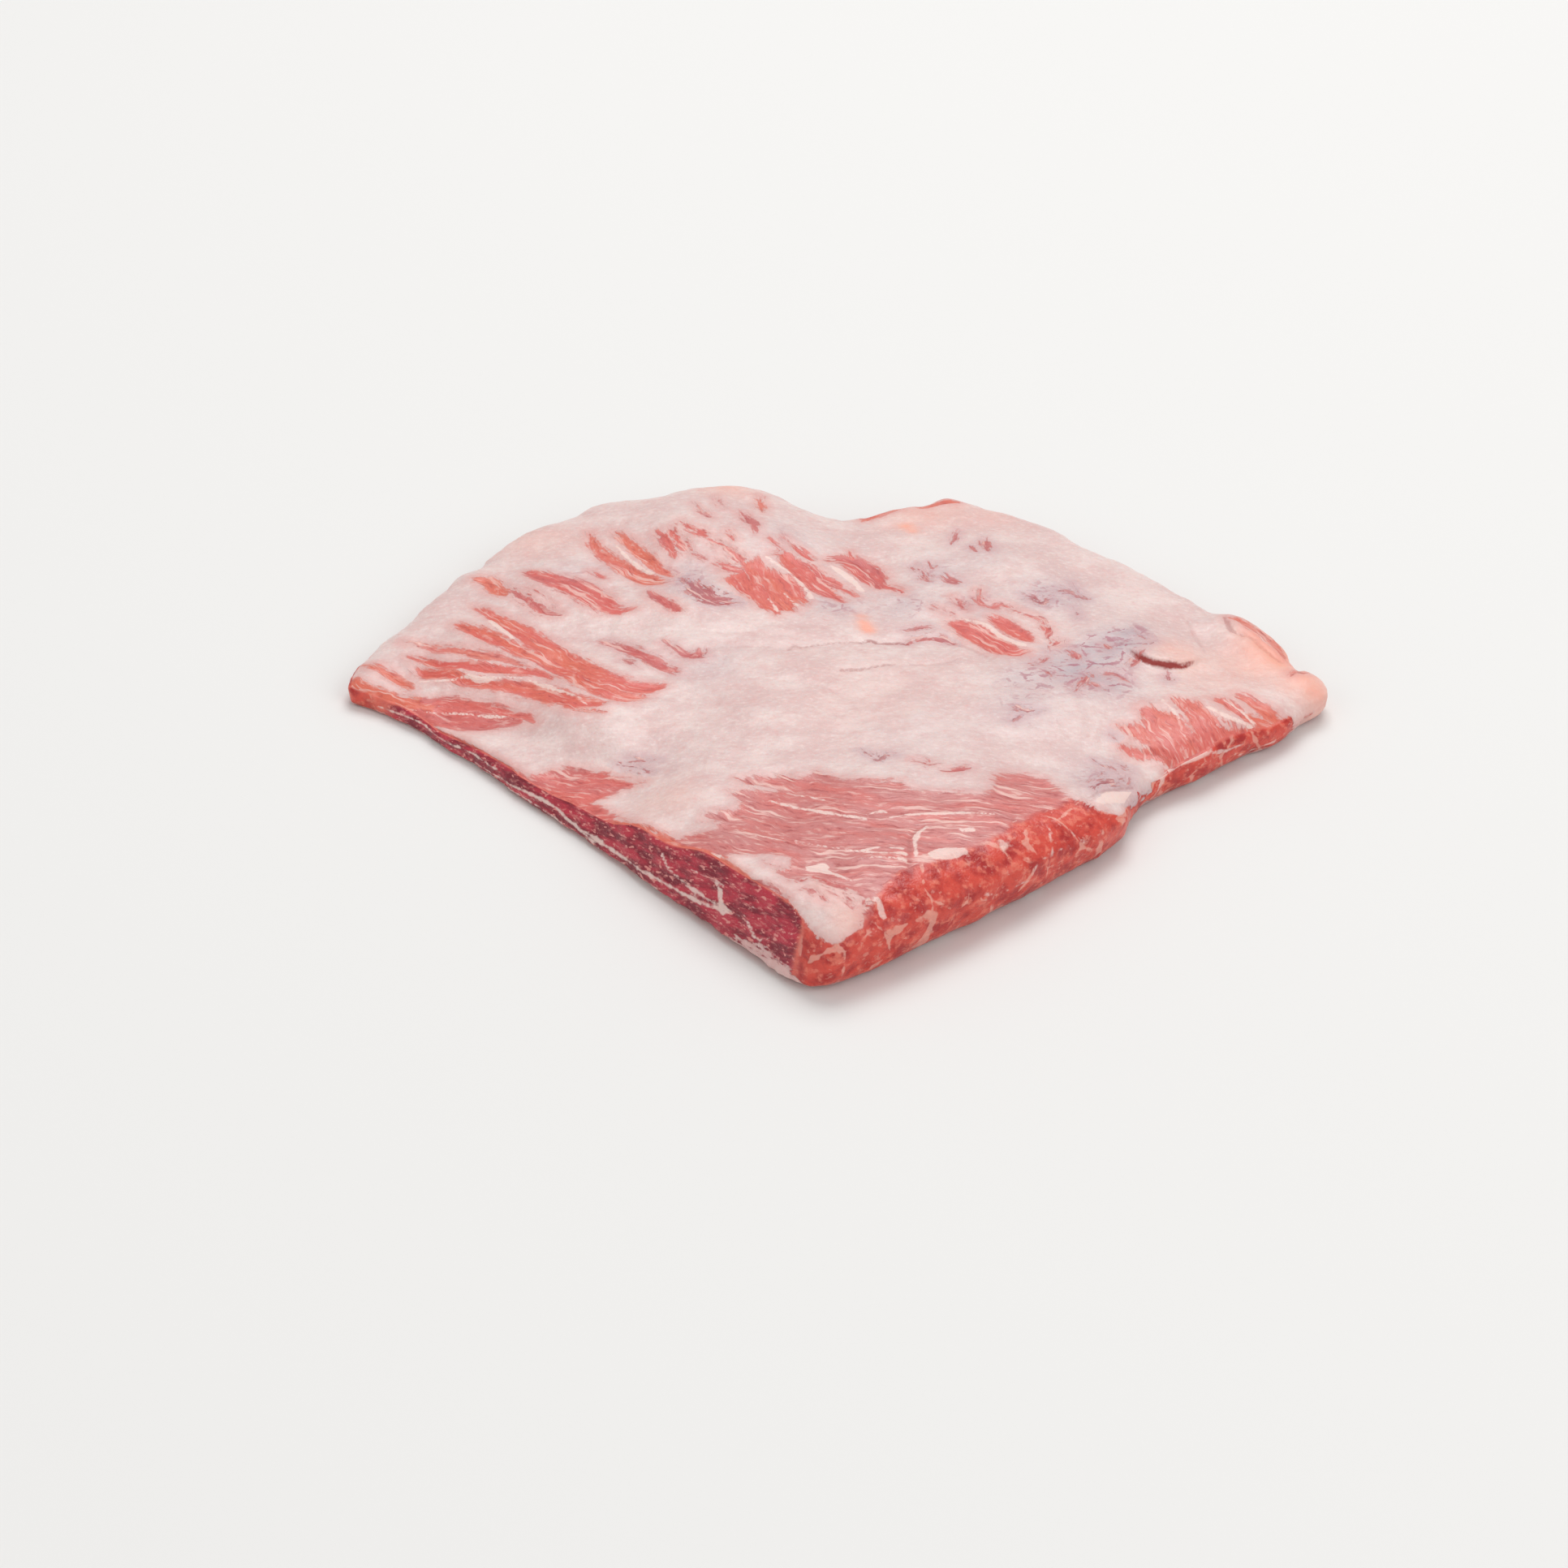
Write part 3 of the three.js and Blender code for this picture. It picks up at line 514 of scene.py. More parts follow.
CHIPS = (
    Patch(((21, -84.6), (24, -82), (31, -80.7), (31.4, -83), (28, -86), (22.6, -87.4), (20.8, -86.2))),
    Patch(((28.6, -73.4), (33.6, -72.6), (33.2, -74.2), (29.6, -75.2))),
    Patch(((-9.4, -89.4), (-4, -88.1), (-2.8, -90.6), (-5, -92.4), (-9.2, -91.9))),
    Patch(((63.6, -53.6), (67.6, -46.4), (73, -42.4), (77, -39), (81, -35), (79, -41), (72, -49),
        (66.4, -54.6))),
)


@dataclass(frozen=True)
class Crease:
    """A groove in the skin.

    Attributes:
        line: Stroke along it. Its half width is the groove's.
        depth: How deep it is, in millimetres.
        dark: How strongly painted shade darkens its bottom, from 0 to 1.
    """

    line: Stroke
    depth: float
    dark: float


# Each crease's last number is how strongly painted shade darkens its bottom.
CREASES = (
    Crease(stroke((7, 25.4, 0.6), (9, 26.8, 0.7), (10.6, 25.8, 0.6), (13.4, 25.9, 0.7),
                  (18.6, 26.6, 0.7)), 0.5, 0.6),
    Crease(stroke((-13, 21, 0.6), (-11.6, 23.4, 0.6), (-10, 22, 0.6), (-4, 23.5, 0.5), (2, 24.7, 0.5),
                  (6.4, 25.2, 0.6)), 0.3, 0.3),
    Crease(stroke((-40, 21, 0.5), (-26, 22.4, 0.6), (-15, 21.4, 0.6)), 0.25, 0.1),
    Crease(stroke((1, 8.3, 0.7), (5.6, 8.6, 0.8), (10, 10.6, 0.6), (15, 12.2, 0.5)), 0.35, 0.38),
    Crease(stroke((19, 12.4, 0.6), (26, 13.2, 0.7), (33, 16.4, 0.5)), 0.25, 0.16),
    Crease(stroke((31.6, 26.4, 0.6), (36, 22.4, 0.7), (40, 17.6, 0.6)), 0.3, 0.2),
    Crease(stroke((106.4, 46, 0.6), (106.6, 41, 0.9), (107.4, 37.6, 0.8), (110, 35.6, 0.6)), 0.7, 0.42),
    Crease(stroke((110, 35.6, 0.6), (113.4, 32.6, 0.8), (115, 29, 0.8), (119.6, 24, 0.6)), 0.6, 0.2),
    Crease(stroke((125, 25, 0.7), (123.6, 21.6, 0.9), (124.4, 18, 0.7)), 0.7, 0.35),
    Crease(stroke((86.6, -29.6, 0.8), (84.6, -26.6, 0.8), (81, -24.8, 0.6)), 0.6, 0.25),
    Crease(stroke((63, -52.6, 0.7), (66.6, -47.4, 0.7), (71, -43, 0.7), (75, -39.6, 0.5)), 0.5, 0.3),
    Crease(stroke((16.4, -93, 0.6), (16.6, -86, 0.6), (16.8, -78, 0.5), (19, -73, 0.4)), 0.4, 0.3),
    Crease(stroke((-49, 31, 0.5), (-30, 29.4, 0.6), (-12, 27.6, 0.5)), 0.2, 0.06),
    Crease(stroke((-20, 4, 0.5), (-8, 1.2, 0.5), (0, -4, 0.5), (5, -12, 0.5)), 0.2, 0.07),
    Crease(stroke((96, 44, 0.6), (98, 34, 0.7), (99, 26, 0.5)), 0.3, 0.12),
)


@dataclass(frozen=True)
class Scale:
    """A scale of fat that has lifted along a curved lip, with a crevice in front of it, painted dark red:
    partly the red of the muscle there, partly painted shade.

    Attributes:
        lip: Stroke along its lip.
        rise: Height of the lip, in millimetres.
        crevice: Depth of the crevice.
        back: How far behind the lip it stands highest.
        fade: How far behind that it comes down.
        gap: How far in front of the lip the crevice is deepest.
        width: Half width of the crevice.
    """

    lip: Stroke = stroke((78.4, 19.6, 0.3), (80.8, 17.2, 0.7), (83, 14.9, 1), (85.4, 13.8, 0.9),
                         (88.4, 13.6, 1), (91, 14.2, 0.9), (93.4, 16, 0.5), (95.4, 18, 0.3))
    rise: float = 0.6
    crevice: float = 0.65
    back: float = 1.4
    fade: float = 3.5
    gap: float = 0.7
    width: float = 0.9


# The knife-cut face, unrolled: distance from the left tip along it, and height.
CUT_FROM = (-131.0, 16.0)
CUT_TO = (-9.0, -118.8)
CUT_SEAMS = (
    stroke((8, 2.4, 0.5), (22, 3.2, 0.5), (34, 2.6, 0.5), (44, 3.4, 0.6), (56, 3.4, 0.5)),
    stroke((44, 1.4, 0.4), (58, 2, 0.6), (70, 3.3, 0.8), (80, 3.7, 0.9), (90, 2.4, 0.9), (97, 1.6, 0.5)),
    stroke((60, 0.6, 0.6), (72, 1.4, 0.5), (84, 1, 0.6), (92, 0.6, 0.5)),
    stroke((92, 2.6, 0.6), (104, 2.8, 0.9), (112, 3, 0.8), (120, 3.6, 0.7), (130, 4.6, 0.8), (139, 5.2, 0.9),
           (146, 6.8, 0.9), (150, 8.4, 0.7)),
    stroke((99, 1, 0.4), (110, 1.4, 0.5), (122, 1.6, 0.5), (130, 2.4, 0.4)),
    stroke((122.6, 10, 0.5), (125, 8.6, 0.9), (129, 7.6, 0.9), (136, 7.2, 0.8), (144, 7.2, 0.8),
           (149, 6.6, 0.7)),
    stroke((143, 12, 0.6), (145.4, 10.6, 1.1), (146.4, 8.8, 1.2), (150, 8, 1), (154, 8.2, 0.5)),
    stroke((134, 11.2, 0.4), (139, 12, 0.6), (144, 12.2, 0.6), (150, 13, 0.4)),
    stroke((153, 10, 0.5), (158, 8.2, 0.8), (160, 6.6, 1), (162.4, 6, 0.9), (165, 7.6, 0.6), (167, 8.6, 0.4)),
    stroke((162, 6, 0.7), (163, 4.4, 0.8), (165, 3.6, 0.5)),
    stroke((152, 11.6, 0.4), (158, 12.4, 0.6), (164, 11.8, 0.4)),
)

# The shoulder above the front right side, where the muscle turns orange before the skin falls off.
SHOULDER = Patch((
    (-4, -122), (4, -112), (9, -101), (14, -95), (18, -90.6), (23, -86.6), (31, -82.8), (37, -77),
    (43, -69.4), (50, -62), (56, -55), (62, -51), (90, -56), (40, -110), (10, -130)))

# The rounded side between the front corner and the knob, unrolled the same way.
SIDE_FROM = (-2.0, -118.8)
SIDE_TO = (131.0, 12.0)
SIDE_SEAMS = (
    stroke((44.6, 12, 0.4), (48, 10.4, 0.7), (51, 8.6, 0.6), (53, 6, 0.4)),
    stroke((52, 10.4, 0.4), (54.6, 8.6, 0.6), (57, 9.2, 0.6), (61, 9.2, 0.6), (62.4, 11, 0.6),
           (66, 12.4, 0.7),
           (70, 12, 0.7), (72, 14.4, 0.5), (74.6, 15.4, 0.6)),
    stroke((71, 12.4, 0.6), (74, 11.6, 0.4)),
    stroke((57, 16.6, 0.4), (58.6, 17.6, 0.8), (61, 17, 0.5)),
    stroke((77, 16, 0.5), (79.6, 13.6, 0.7), (80.6, 11.4, 0.5), (83, 9.6, 0.4)),
    stroke((11, 4.6, 0.4), (13, 7, 0.5), (14, 9, 0.4)),
    stroke((117, 2, 0.7), (119.6, 4.4, 0.9), (122.6, 7.6, 1), (125.6, 8.8, 1), (130, 9.4, 0.9),
           (136, 9.6, 0.9),
           (141, 8.4, 0.8), (145, 7.4, 0.6), (150, 7.4, 0.5)),
    stroke((136, 11.6, 0.5), (139, 10.2, 0.6)),
    stroke((146, 6, 0.5), (150, 3.6, 0.6), (156, 3, 0.6), (162, 3.6, 0.7)),
)


@dataclass(frozen=True)
class EdgeBand:
    """How the muscle shows at one place of the rim, in the layers of its side.

    Attributes:
        at: The place, x and y.
        low: Height where the muscle starts, in millimetres.
        high: Height where it ends under the fat.
        cut: 1 on the knife-cut face, 0 on a soft side.
    """

    at: tuple[float, float]
    low: float
    high: float
    cut: float = 0.0


ALL_THE_WAY = 40.0
EDGE_BANDS = (
    EdgeBand((-5.5, -118.6), 1.0, ALL_THE_WAY),
    EdgeBand((0, -114), 0.9, ALL_THE_WAY),
    EdgeBand((16, -104), 0.9, ALL_THE_WAY),
    EdgeBand((52, -73), 0.9, ALL_THE_WAY),
    EdgeBand((64, -60), 1.0, ALL_THE_WAY),
    EdgeBand((69, -54), 1.2, 13),
    EdgeBand((74, -45), 1.5, 8),
    EdgeBand((80, -35), 1.5, 6.5),
    EdgeBand((88, -28), 1.2, ALL_THE_WAY),
    EdgeBand((105, -14), 1.2, ALL_THE_WAY),
    EdgeBand((115, -6), 1.6, ALL_THE_WAY),
    EdgeBand((120, -1), 2.6, 4),
    EdgeBand((129, 10), 6, 4),
    EdgeBand((122, 26), 4, 4.6),
    EdgeBand((114, 43), 2.4, 4.6),
    EdgeBand((92, 65), 1.5, 5.4),
    EdgeBand((70, 87), 1.4, 5),
    EdgeBand((43, 108), 1.6, 5.6),
    EdgeBand((31, 115), 1.4, 8),
    EdgeBand((15, 109), 1.4, ALL_THE_WAY),
    EdgeBand((7, 104), 1.8, 6),
    EdgeBand((-8, 104), 1.4, 6.6),
    EdgeBand((-29, 116), 1.8, 8.6),
    EdgeBand((-52, 109), 2, 7),
    EdgeBand((-76, 101), 1.4, 6),
    EdgeBand((-95, 84), 1.6, 5.4),
    EdgeBand((-109, 61), 1.2, 4.8),
    EdgeBand((-125, 33), 1.2, 4.2),
    EdgeBand((-130, 20), 0.5, ALL_THE_WAY),
    EdgeBand((-127, 13), 0.3, ALL_THE_WAY, 0.4),
    EdgeBand((-118, 5), 0.2, ALL_THE_WAY, 1.0),
    EdgeBand((-80, -34), 0.2, ALL_THE_WAY, 1.0),
    EdgeBand((-50, -70), 0.2, ALL_THE_WAY, 1.0),
    EdgeBand((-31, -93), 0.2, ALL_THE_WAY, 1.0),
    EdgeBand((-27, -98), 2.6, ALL_THE_WAY, 1.0),
    EdgeBand((-19, -107), 4.2, ALL_THE_WAY, 1.0),
    EdgeBand((-13, -112.6), 3.8, ALL_THE_WAY, 1.0),
    EdgeBand((-9.6, -117), 1.4, ALL_THE_WAY, 0.15),
)


@dataclass(frozen=True)
class Stain:
    """A soft round area where the fat has another tint.

    Attributes:
        at: Its middle, x and y.
        reach: Its radius, in millimetres.
        warm: How pink and orange it is, from 0 to 1.
        cool: How blue-grey it is, as where muscle lies close under it.
    """

    at: tuple[float, float]
    reach: float
    warm: float = 0.0
    cool: float = 0.0


STAINS = (
    Stain((8.4, 32), 2.2, warm=1.3),
    Stain((7.4, 35.4), 2.0, warm=1.2),
    Stain((6.8, 39.6), 1.8, warm=0.9),
    Stain((116, 36), 7, warm=1.1),
    Stain((121, 26), 6, warm=1.1),
    Stain((112, 22), 10, warm=0.5),
    Stain((127, 12), 9, warm=0.8),
    Stain((100, 6), 12, warm=0.2),
    Stain((91, 21), 8, warm=0.45),
    Stain((24, 103), 12, warm=0.35),
    Stain((20.4, 94), 2.4, warm=0.8),
    Stain((22, 90.6), 1.8, warm=0.7),
    Stain((45, 104), 12, warm=0.2),
    Stain((-30, 112), 8, warm=0.55),
    Stain((-88, 88), 10, warm=0.15),
    Stain((-78, 84), 12, warm=0.12),
    Stain((-44, -52), 9, warm=0.2),
    Stain((-3, -100), 6, warm=0.3),
    Stain((2, -110), 5, warm=0.4),
    Stain((10, -8), 22, warm=0.08),
    Stain((73, 23), 8, cool=1.1),
    Stain((80, 30), 6, cool=0.7),
    Stain((60, 52), 9, cool=0.7),
    Stain((64, 12), 9, cool=0.7),
    Stain((72, 4), 8, cool=0.55),
    Stain((38, 46), 7, cool=0.55),
    Stain((28, 64), 7, cool=0.45),
    Stain((20, 46), 9, cool=0.5),
    Stain((48, 3), 8, cool=0.35),
    Stain((0, 46), 9, cool=0.5),
    Stain((-42, 58), 9, cool=0.5),
    Stain((-14, 78), 9, cool=0.35),
    Stain((40, 72), 9, cool=0.25),
    Stain((66, -40), 10, cool=0.45),
    Stain((60, 6), 14, cool=0.35),
    Stain((47, -13), 8, cool=0.45),
    Stain((-34, 14), 10, cool=0.3),
    Stain((22, -22), 14, cool=0.2),
    Stain((-78, 64), 8, cool=0.25),
    Stain((-66, 64), 8, cool=0.3),
)


# ---------------------------------------------------------------- the slab


@dataclass(frozen=True)
class Track:
    """One stroke or patch with the window that it belongs to.

    Attributes:
        window: The window.
        line: The stroke, or nothing for the window's patch.
    """

    window: Window
    line: Stroke | None = None

    def depth(self, points: np.ndarray) -> np.ndarray:
        """How far inside some points are.

        Args:
            points: Rows of x and y.

        Returns:
            Signed distance to its edge in millimetres, positive inside.
        """
        if self.line is None:
            return self.window.patch.measure(points)
        best = np.full(len(points), NOWHERE)
        near = self.line.reach(points)
        if near.any():
            best[near] = self.line.measure(points[near])[0]
        return best

    def run(self, points: np.ndarray) -> np.ndarray:
        """Where some points are along and across the fibres.

        Fibres follow the stroke, or the window's grain: a straight line for strokes, a bent one for a patch.

        Args:
            points: Rows of x and y.

        Returns:
            Rows of two numbers, in millimetres.
        """
        line = np.array(self.window.grain, float)
        if self.line is not None and len(line) == 0:
            return np.column_stack(self.line.measure(points)[1:])
        if self.line is not None:
            way = (line[-1] - line[0]) / np.hypot(*(line[-1] - line[0]))
            return points @ np.column_stack([way, (-way[1], way[0])])
        rise = np.gradient(line[:, 1], line[:, 0])
        slope = np.interp(points[:, 0], line[:, 0], rise)
        middle = np.interp(points[:, 0], line[:, 0], line[:, 1])
        slant = np.sqrt(1.0 + slope**2)
        return np.column_stack([points[:, 0] * slant, (points[:, 1] - middle) / slant])


@dataclass
class Foot:
    """The loop where the side of the slab meets its underside.

    Attributes:
        ring: Its corners in turn, anticlockwise from above, in millimetres.
        length: Its whole length.
        starts: Arc length at each corner.
    """

    ring: np.ndarray
    length: float = field(init=False)
    starts: np.ndarray = field(init=False)

    def __post_init__(self) -> None:
        """Measures the loop."""
        step = np.roll(self.ring, -1, axis=0) - self.ring
        sizes = np.hypot(step[:, 0], step[:, 1])
        self.starts = np.concatenate([[0.0], np.cumsum(sizes)[:-1]])
        self.length = float(sizes.sum())

    @classmethod
    def of(cls, mesh: bmesh.types.BMesh, first: tuple[float, float]) -> "Foot":
        """Finds the loop in the solid's mesh.

        Args:
            mesh: The solid, with its doubles merged.
            first: Place near the corner that the loop is to start from.

        Returns:
            The loop.
        """
        flat = {f for f in mesh.faces if max(v.co.z for v in f.verts) < 1e-6}
        rim = [e for e in mesh.edges if sum(f in flat for f in e.link_faces) == 1]
        joined: dict[bmesh.types.BMVert, list] = {}
        for edge in rim:
            for vert in edge.verts:
                joined.setdefault(vert, []).append(edge.other_vert(vert))
        goal = Vector((*first, 0.0)) * MM
        start = min(joined, key=lambda v: (v.co - goal).length)
        walk, last, here = [start], start, joined[start][0]
        while here is not start:
            walk.append(here)
            last, here = here, next(v for v in joined[here] if v is not last)
        ring = np.array([v.co[:2] for v in walk]) / MM
        x, y = ring.T
        if np.sum(x * np.roll(y, -1) - y * np.roll(x, -1)) < 0:
            ring = np.roll(ring[::-1], 1, axis=0)
        return cls(ring)

    def along(self, points: np.ndarray) -> tuple[np.ndarray, np.ndarray]:
        """Nearest place on the loop to each point.

        Args:
            points: Rows of x and y.

        Returns:
            Its arc length and its distance, in millimetres.
        """
        best = np.full(len(points), 1e9)
        found = np.zeros(len(points))
        for a, b, start in zip(self.ring, np.roll(self.ring, -1, axis=0), self.starts):
            step = b - a
            size = float(np.hypot(*step)) + 1e-9
            share = np.clip(((points - a) @ step) / size**2, 0.0, 1.0)
            gap = np.hypot(*(points - a - share[:, None] * step).T)
            better = gap < best
            best = np.where(better, gap, best)
            found = np.where(better, start + share * size, found)
        return found, best

    def spread(self, marks: list[float], values: list[float], at: np.ndarray) -> np.ndarray:
        """Values given at some arc lengths, filled in between them round the loop."""
        return np.interp(at, marks, values, period=self.length)


@dataclass
class Slab:
    """The secreto: the CAD solid with a finer skin, low relief and fields for its material.

    Attributes:
        levels: How often each face of the solid is divided.
        weld: Distance in metres under which corners are one.
        bend: Largest angle between two triangles that are joined to one face, in radians.
        skew: Largest angle by which that face may differ from a square, in radians.
        sink: How deep muscle lies below the fat round it, in millimetres.
        lip: How far the edge of the fat is raised beside it.
        vein: How far white seams stand out of the muscle.
        ridge: Height of the bundles of muscle fibres.
        swell: Heights of the fat's wide and narrow lumps.
        rough: Heights of the sides' wide and narrow lumps.
        groove: Half width of the creases.
        scale: The lifted scale of fat.
    """

    levels: int = 2
    weld: float = 1e-6
    bend: float = 0.7
    skew: float = 3.2
    sink: float = 0.45
    lip: float = 0.08
    vein: float = 0.12
    ridge: float = 0.34
    swell: tuple[float, float] = (0.34, 0.2)
    rough: tuple[float, float] = (0.45, 0.28)
    groove: float = 1.3
    scale: Scale = Scale()

    def build(self) -> bpy.types.Object:
        """Makes the slab's object.

        Returns:
            The object, with its fields and no material.
        """
        mesh, foot = self.skin()
        place = self.read(mesh.vertices, "co") / MM
        facing = self.read(mesh.vertex_normals, "vector")
        at, inward = foot.along(place[:, :2])
        fields = self.zones(foot, at, place, facing)
        fields |= self.top(place, fields)
        self.edges(foot, at, place, fields)
        self.under(place, fields)
        self.creases(place, fields)
        height = self.relief(place, facing, at, fields)
        moved = place + facing * height[:, None]
        moved[:, 2] = np.maximum(moved[:, 2], 0.0)
        self.fibres(mesh, foot, place, np.column_stack([at, place[:, 2] + inward]), fields)
        self.store(mesh, fields)
        mesh.vertices.foreach_set("co", (moved * MM).ravel())
        mesh.update()
        slab = bpy.data.objects.new("pork_secreto_slab", mesh)
        bpy.context.scene.collection.objects.link(slab)
        return slab

    def skin(self) -> tuple[bpy.types.Mesh, Foot]:
        """Copies the solid and divides its skin.

        Returns:
            The fine mesh and the solid's foot loop.
        """
        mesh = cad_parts[NODE].data.copy()
        work = bmesh.new()
        work.from_mesh(mesh)
        bmesh.ops.remove_doubles(work, verts=work.verts, dist=self.weld)
        foot = Foot.of(work, FOOT_FROM)
        bmesh.ops.join_triangles(
            work, faces=work.faces, angle_face_threshold=self.bend, angle_shape_threshold=self.skew
        )
        work.to_mesh(mesh)
        work.free()
        if "custom_normal" in mesh.attributes:
            mesh.attributes.remove(mesh.attributes["custom_normal"])
        mesh.shade_smooth()
        rough = bpy.data.objects.new("rough_skin", mesh)
        bpy.context.scene.collection.objects.link(rough)
        finer = rough.modifiers.new("finer", "SUBSURF")
        finer.levels = finer.render_levels = self.levels
        bpy.context.view_layer.update()
        graph = bpy.context.evaluated_depsgraph_get()
        fine = bpy.data.meshes.new_from_object(rough.evaluated_get(graph))
        bpy.data.objects.remove(rough)
        bpy.data.meshes.remove(mesh)
        fine.materials.clear()
        return fine, foot

    @staticmethod
    def read(things: bpy.types.bpy_prop_collection, name: str) -> np.ndarray:
        """Vectors of some mesh elements.

        Args:
            things: The mesh elements.
            name: The vector's name.

        Returns:
            One row of three numbers each.
        """
        flat = np.empty(len(things) * 3, np.float32)
        things.foreach_get(name, flat)
        return flat.reshape(-1, 3).astype(float)

    def zones(
        self, foot: Foot, at: np.ndarray, place: np.ndarray, facing: np.ndarray
    ) -> dict[str, np.ndarray]:
        """How much each point belongs to the cut face, a soft side and the underside.

        Args:
            foot: The foot loop.
            at: Arc length of each point.
            place: The points, in millimetres.
            facing: Normal of each point.

        Returns:
            Fields cut, side, under and steep, and the heights low and high of the bands of muscle.
        """
        marks = [float(foot.along(np.array([band.at]))[0][0]) for band in EDGE_BANDS]
        low = foot.spread(marks, [band.low for band in EDGE_BANDS], at)
        high = foot.spread(marks, [band.high for band in EDGE_BANDS], at)
        knife = foot.spread(marks, [band.cut for band in EDGE_BANDS], at)
        steep = (1 - knife) * smooth(-facing[:, 2], -0.85, -0.45) + knife * smooth(-facing[:, 2], -0.8, -0.55)
        under = smooth(-facing[:, 2], 0.55, 0.9)
        shoulder = smooth(SHOULDER.measure(place[:, :2]) + 2.0 * lumps(place, 6.0, 17.0), -3.0, 3.0)
        soft = np.maximum(steep, shoulder) * (1 - knife)
        return {
            "cut": steep * knife * (1 - under),
            "side": soft * (1 - under),
            "steep": steep,
            "under": under,
            "low": low,
            "high": high,
        }

    def top(self, place: np.ndarray, fields: dict[str, np.ndarray]) -> dict[str, np.ndarray]:
        """Fields of the windows, seams and stains that are seen from above.

        Args:
            place: Points, in millimetres.
            fields: The zones. Not used.

        Returns:
            Fields lean, vein, tone, film, mottle, track, warm and cool.
        """
        points = place[:, :2]
        lean = np.full(len(points), NOWHERE)
        found = {key: np.zeros(len(points)) for key in ("tone", "film", "mottle", "track")}
        for number, track in enumerate(self.tracks()):
            depth = track.depth(points)
            better = depth > lean
            lean = np.where(better, depth, lean)
            for key in ("tone", "film", "mottle"):
                found[key][better] = getattr(track.window, key)
            found["track"][better] = number
        vein = np.full(len(points), NOWHERE)
        for one in TOP_SEAMS:
            near = one.reach(points)
            vein[near] = np.maximum(vein[near], one.measure(points[near])[0])
        for chip in CHIPS:
            vein = np.maximum(vein, chip.measure(points))
        warm, cool = np.zeros(len(points)), np.zeros(len(points))
        for stain in STAINS:
            share = bell(np.hypot(*(points - np.array(stain.at)).T), 0.0, stain.reach)
            warm += stain.warm * share
            cool += stain.cool * share
        return found | {"lean": lean, "vein": vein, "warm": warm, "cool": cool}

    @staticmethod
    def tracks() -> list[Track]:
        """Every stroke and patch of every window.

        Returns:
            The tracks, in turn.
        """
        return [
            Track(window, line)
            for window in WINDOWS
            for line in (window.strokes if window.patch is None else (None,))
        ]

    def edges(self, foot: Foot, at: np.ndarray, place: np.ndarray, fields: dict[str, np.ndarray]) -> None:
        """Blends the windows into the bands of muscle on the sides, and adds the sides' seams.

        Args:
            foot: The foot loop. Not used.
            at: Arc length of each point.
            place: Points, in millimetres.
            fields: Fields so far. Lean and vein are changed.
        """
        steep = fields["steep"]
        wave = lumps(np.column_stack([at, place[:, 2] * 2.0, np.zeros_like(at)]), 7.0, 3.0)
        height = place[:, 2]
        band = np.minimum(height - fields["low"], fields["high"] + 1.6 * wave - height)
        window = np.clip(fields["lean"], -NEAR, NEAR)
        fields["lean"] = (1 - steep) * window + steep * np.clip(band, -NEAR, NEAR)
        fields["vein"] = np.where(steep > 0.5, -FAR, fields["vein"])
        for first, last, seams, zone in (
            (CUT_FROM, CUT_TO, CUT_SEAMS, Zone.CUT),
            (SIDE_FROM, SIDE_TO, SIDE_SEAMS, Zone.SIDE),
        ):
            chord = np.array(last) - np.array(first)
            chord = chord / np.hypot(*chord)
            flat = np.column_stack([(place[:, :2] - np.array(first)) @ chord, height])
            ours = fields[zone.value] > 0.25
            for one in seams:
                near = one.reach(flat) & ours
                if near.any():
                    inside = one.measure(flat[near])[0]
                    fields["vein"][near] = np.maximum(fields["vein"][near], inside)

    def under(self, place: np.ndarray, fields: dict[str, np.ndarray]) -> None:
        """Gives the underside muscle with long streaks of fat, as on the top's fibres.

        Args:
            place: Points, in millimetres.
            fields: Fields so far. Lean, tone, film, mottle, warm and cool are changed.
        """
        on = fields["under"]
        flat = place[:, :2] @ UNDER_GRAIN
        streaks = lumps(np.column_stack([flat[:, 0] / 5.0, flat[:, 1], np.zeros_like(on)]), 9.0, 11.0)
        lean = np.clip(1.2 + 6.0 * streaks, -NEAR, NEAR)
        fields["lean"] = (1 - on) * fields["lean"] + on * lean
        for key, value in (("tone", 0.45), ("film", 0.45), ("mottle", 0.2), ("warm", 0.0), ("cool", 0.0)):
            fields[key] = (1 - on) * fields[key] + on * value

    def creases(self, place: np.ndarray, fields: dict[str, np.ndarray]) -> None:
        """Adds the distance to the nearest crease, and how dark and deep it is.

        Args:
            place: Points, in millimetres.
            fields: Fields so far. Crease, dark and groove are added; dark is the strength of the painted
                shade in each crease.
        """
        points = place[:, :2]
        best = np.full(len(points), -FAR)
        dark, groove = np.zeros(len(points)), np.zeros(len(points))
        # Painted shade: the crevice in front of the lifted scale is darkened in full, in dark red that also
        # stands for the red of the crevice.
        lip = Crease(self.scale.lip, depth=0.0, dark=1.0)
        for one in (*CREASES, lip):
            near = one.line.reach(points)
            inside = one.line.measure(points[near])[0]
            half = max(p[2] for p in one.line.path)
            better = inside > best[near]
            index = np.flatnonzero(near)[better]
            best[index] = inside[better]
            dark[index] = one.dark
            groove[near] += one.depth * bell(inside, half, self.groove)
        fields |= {"crease": best, "dark": dark * (1 - fields["under"]), "groove": groove}

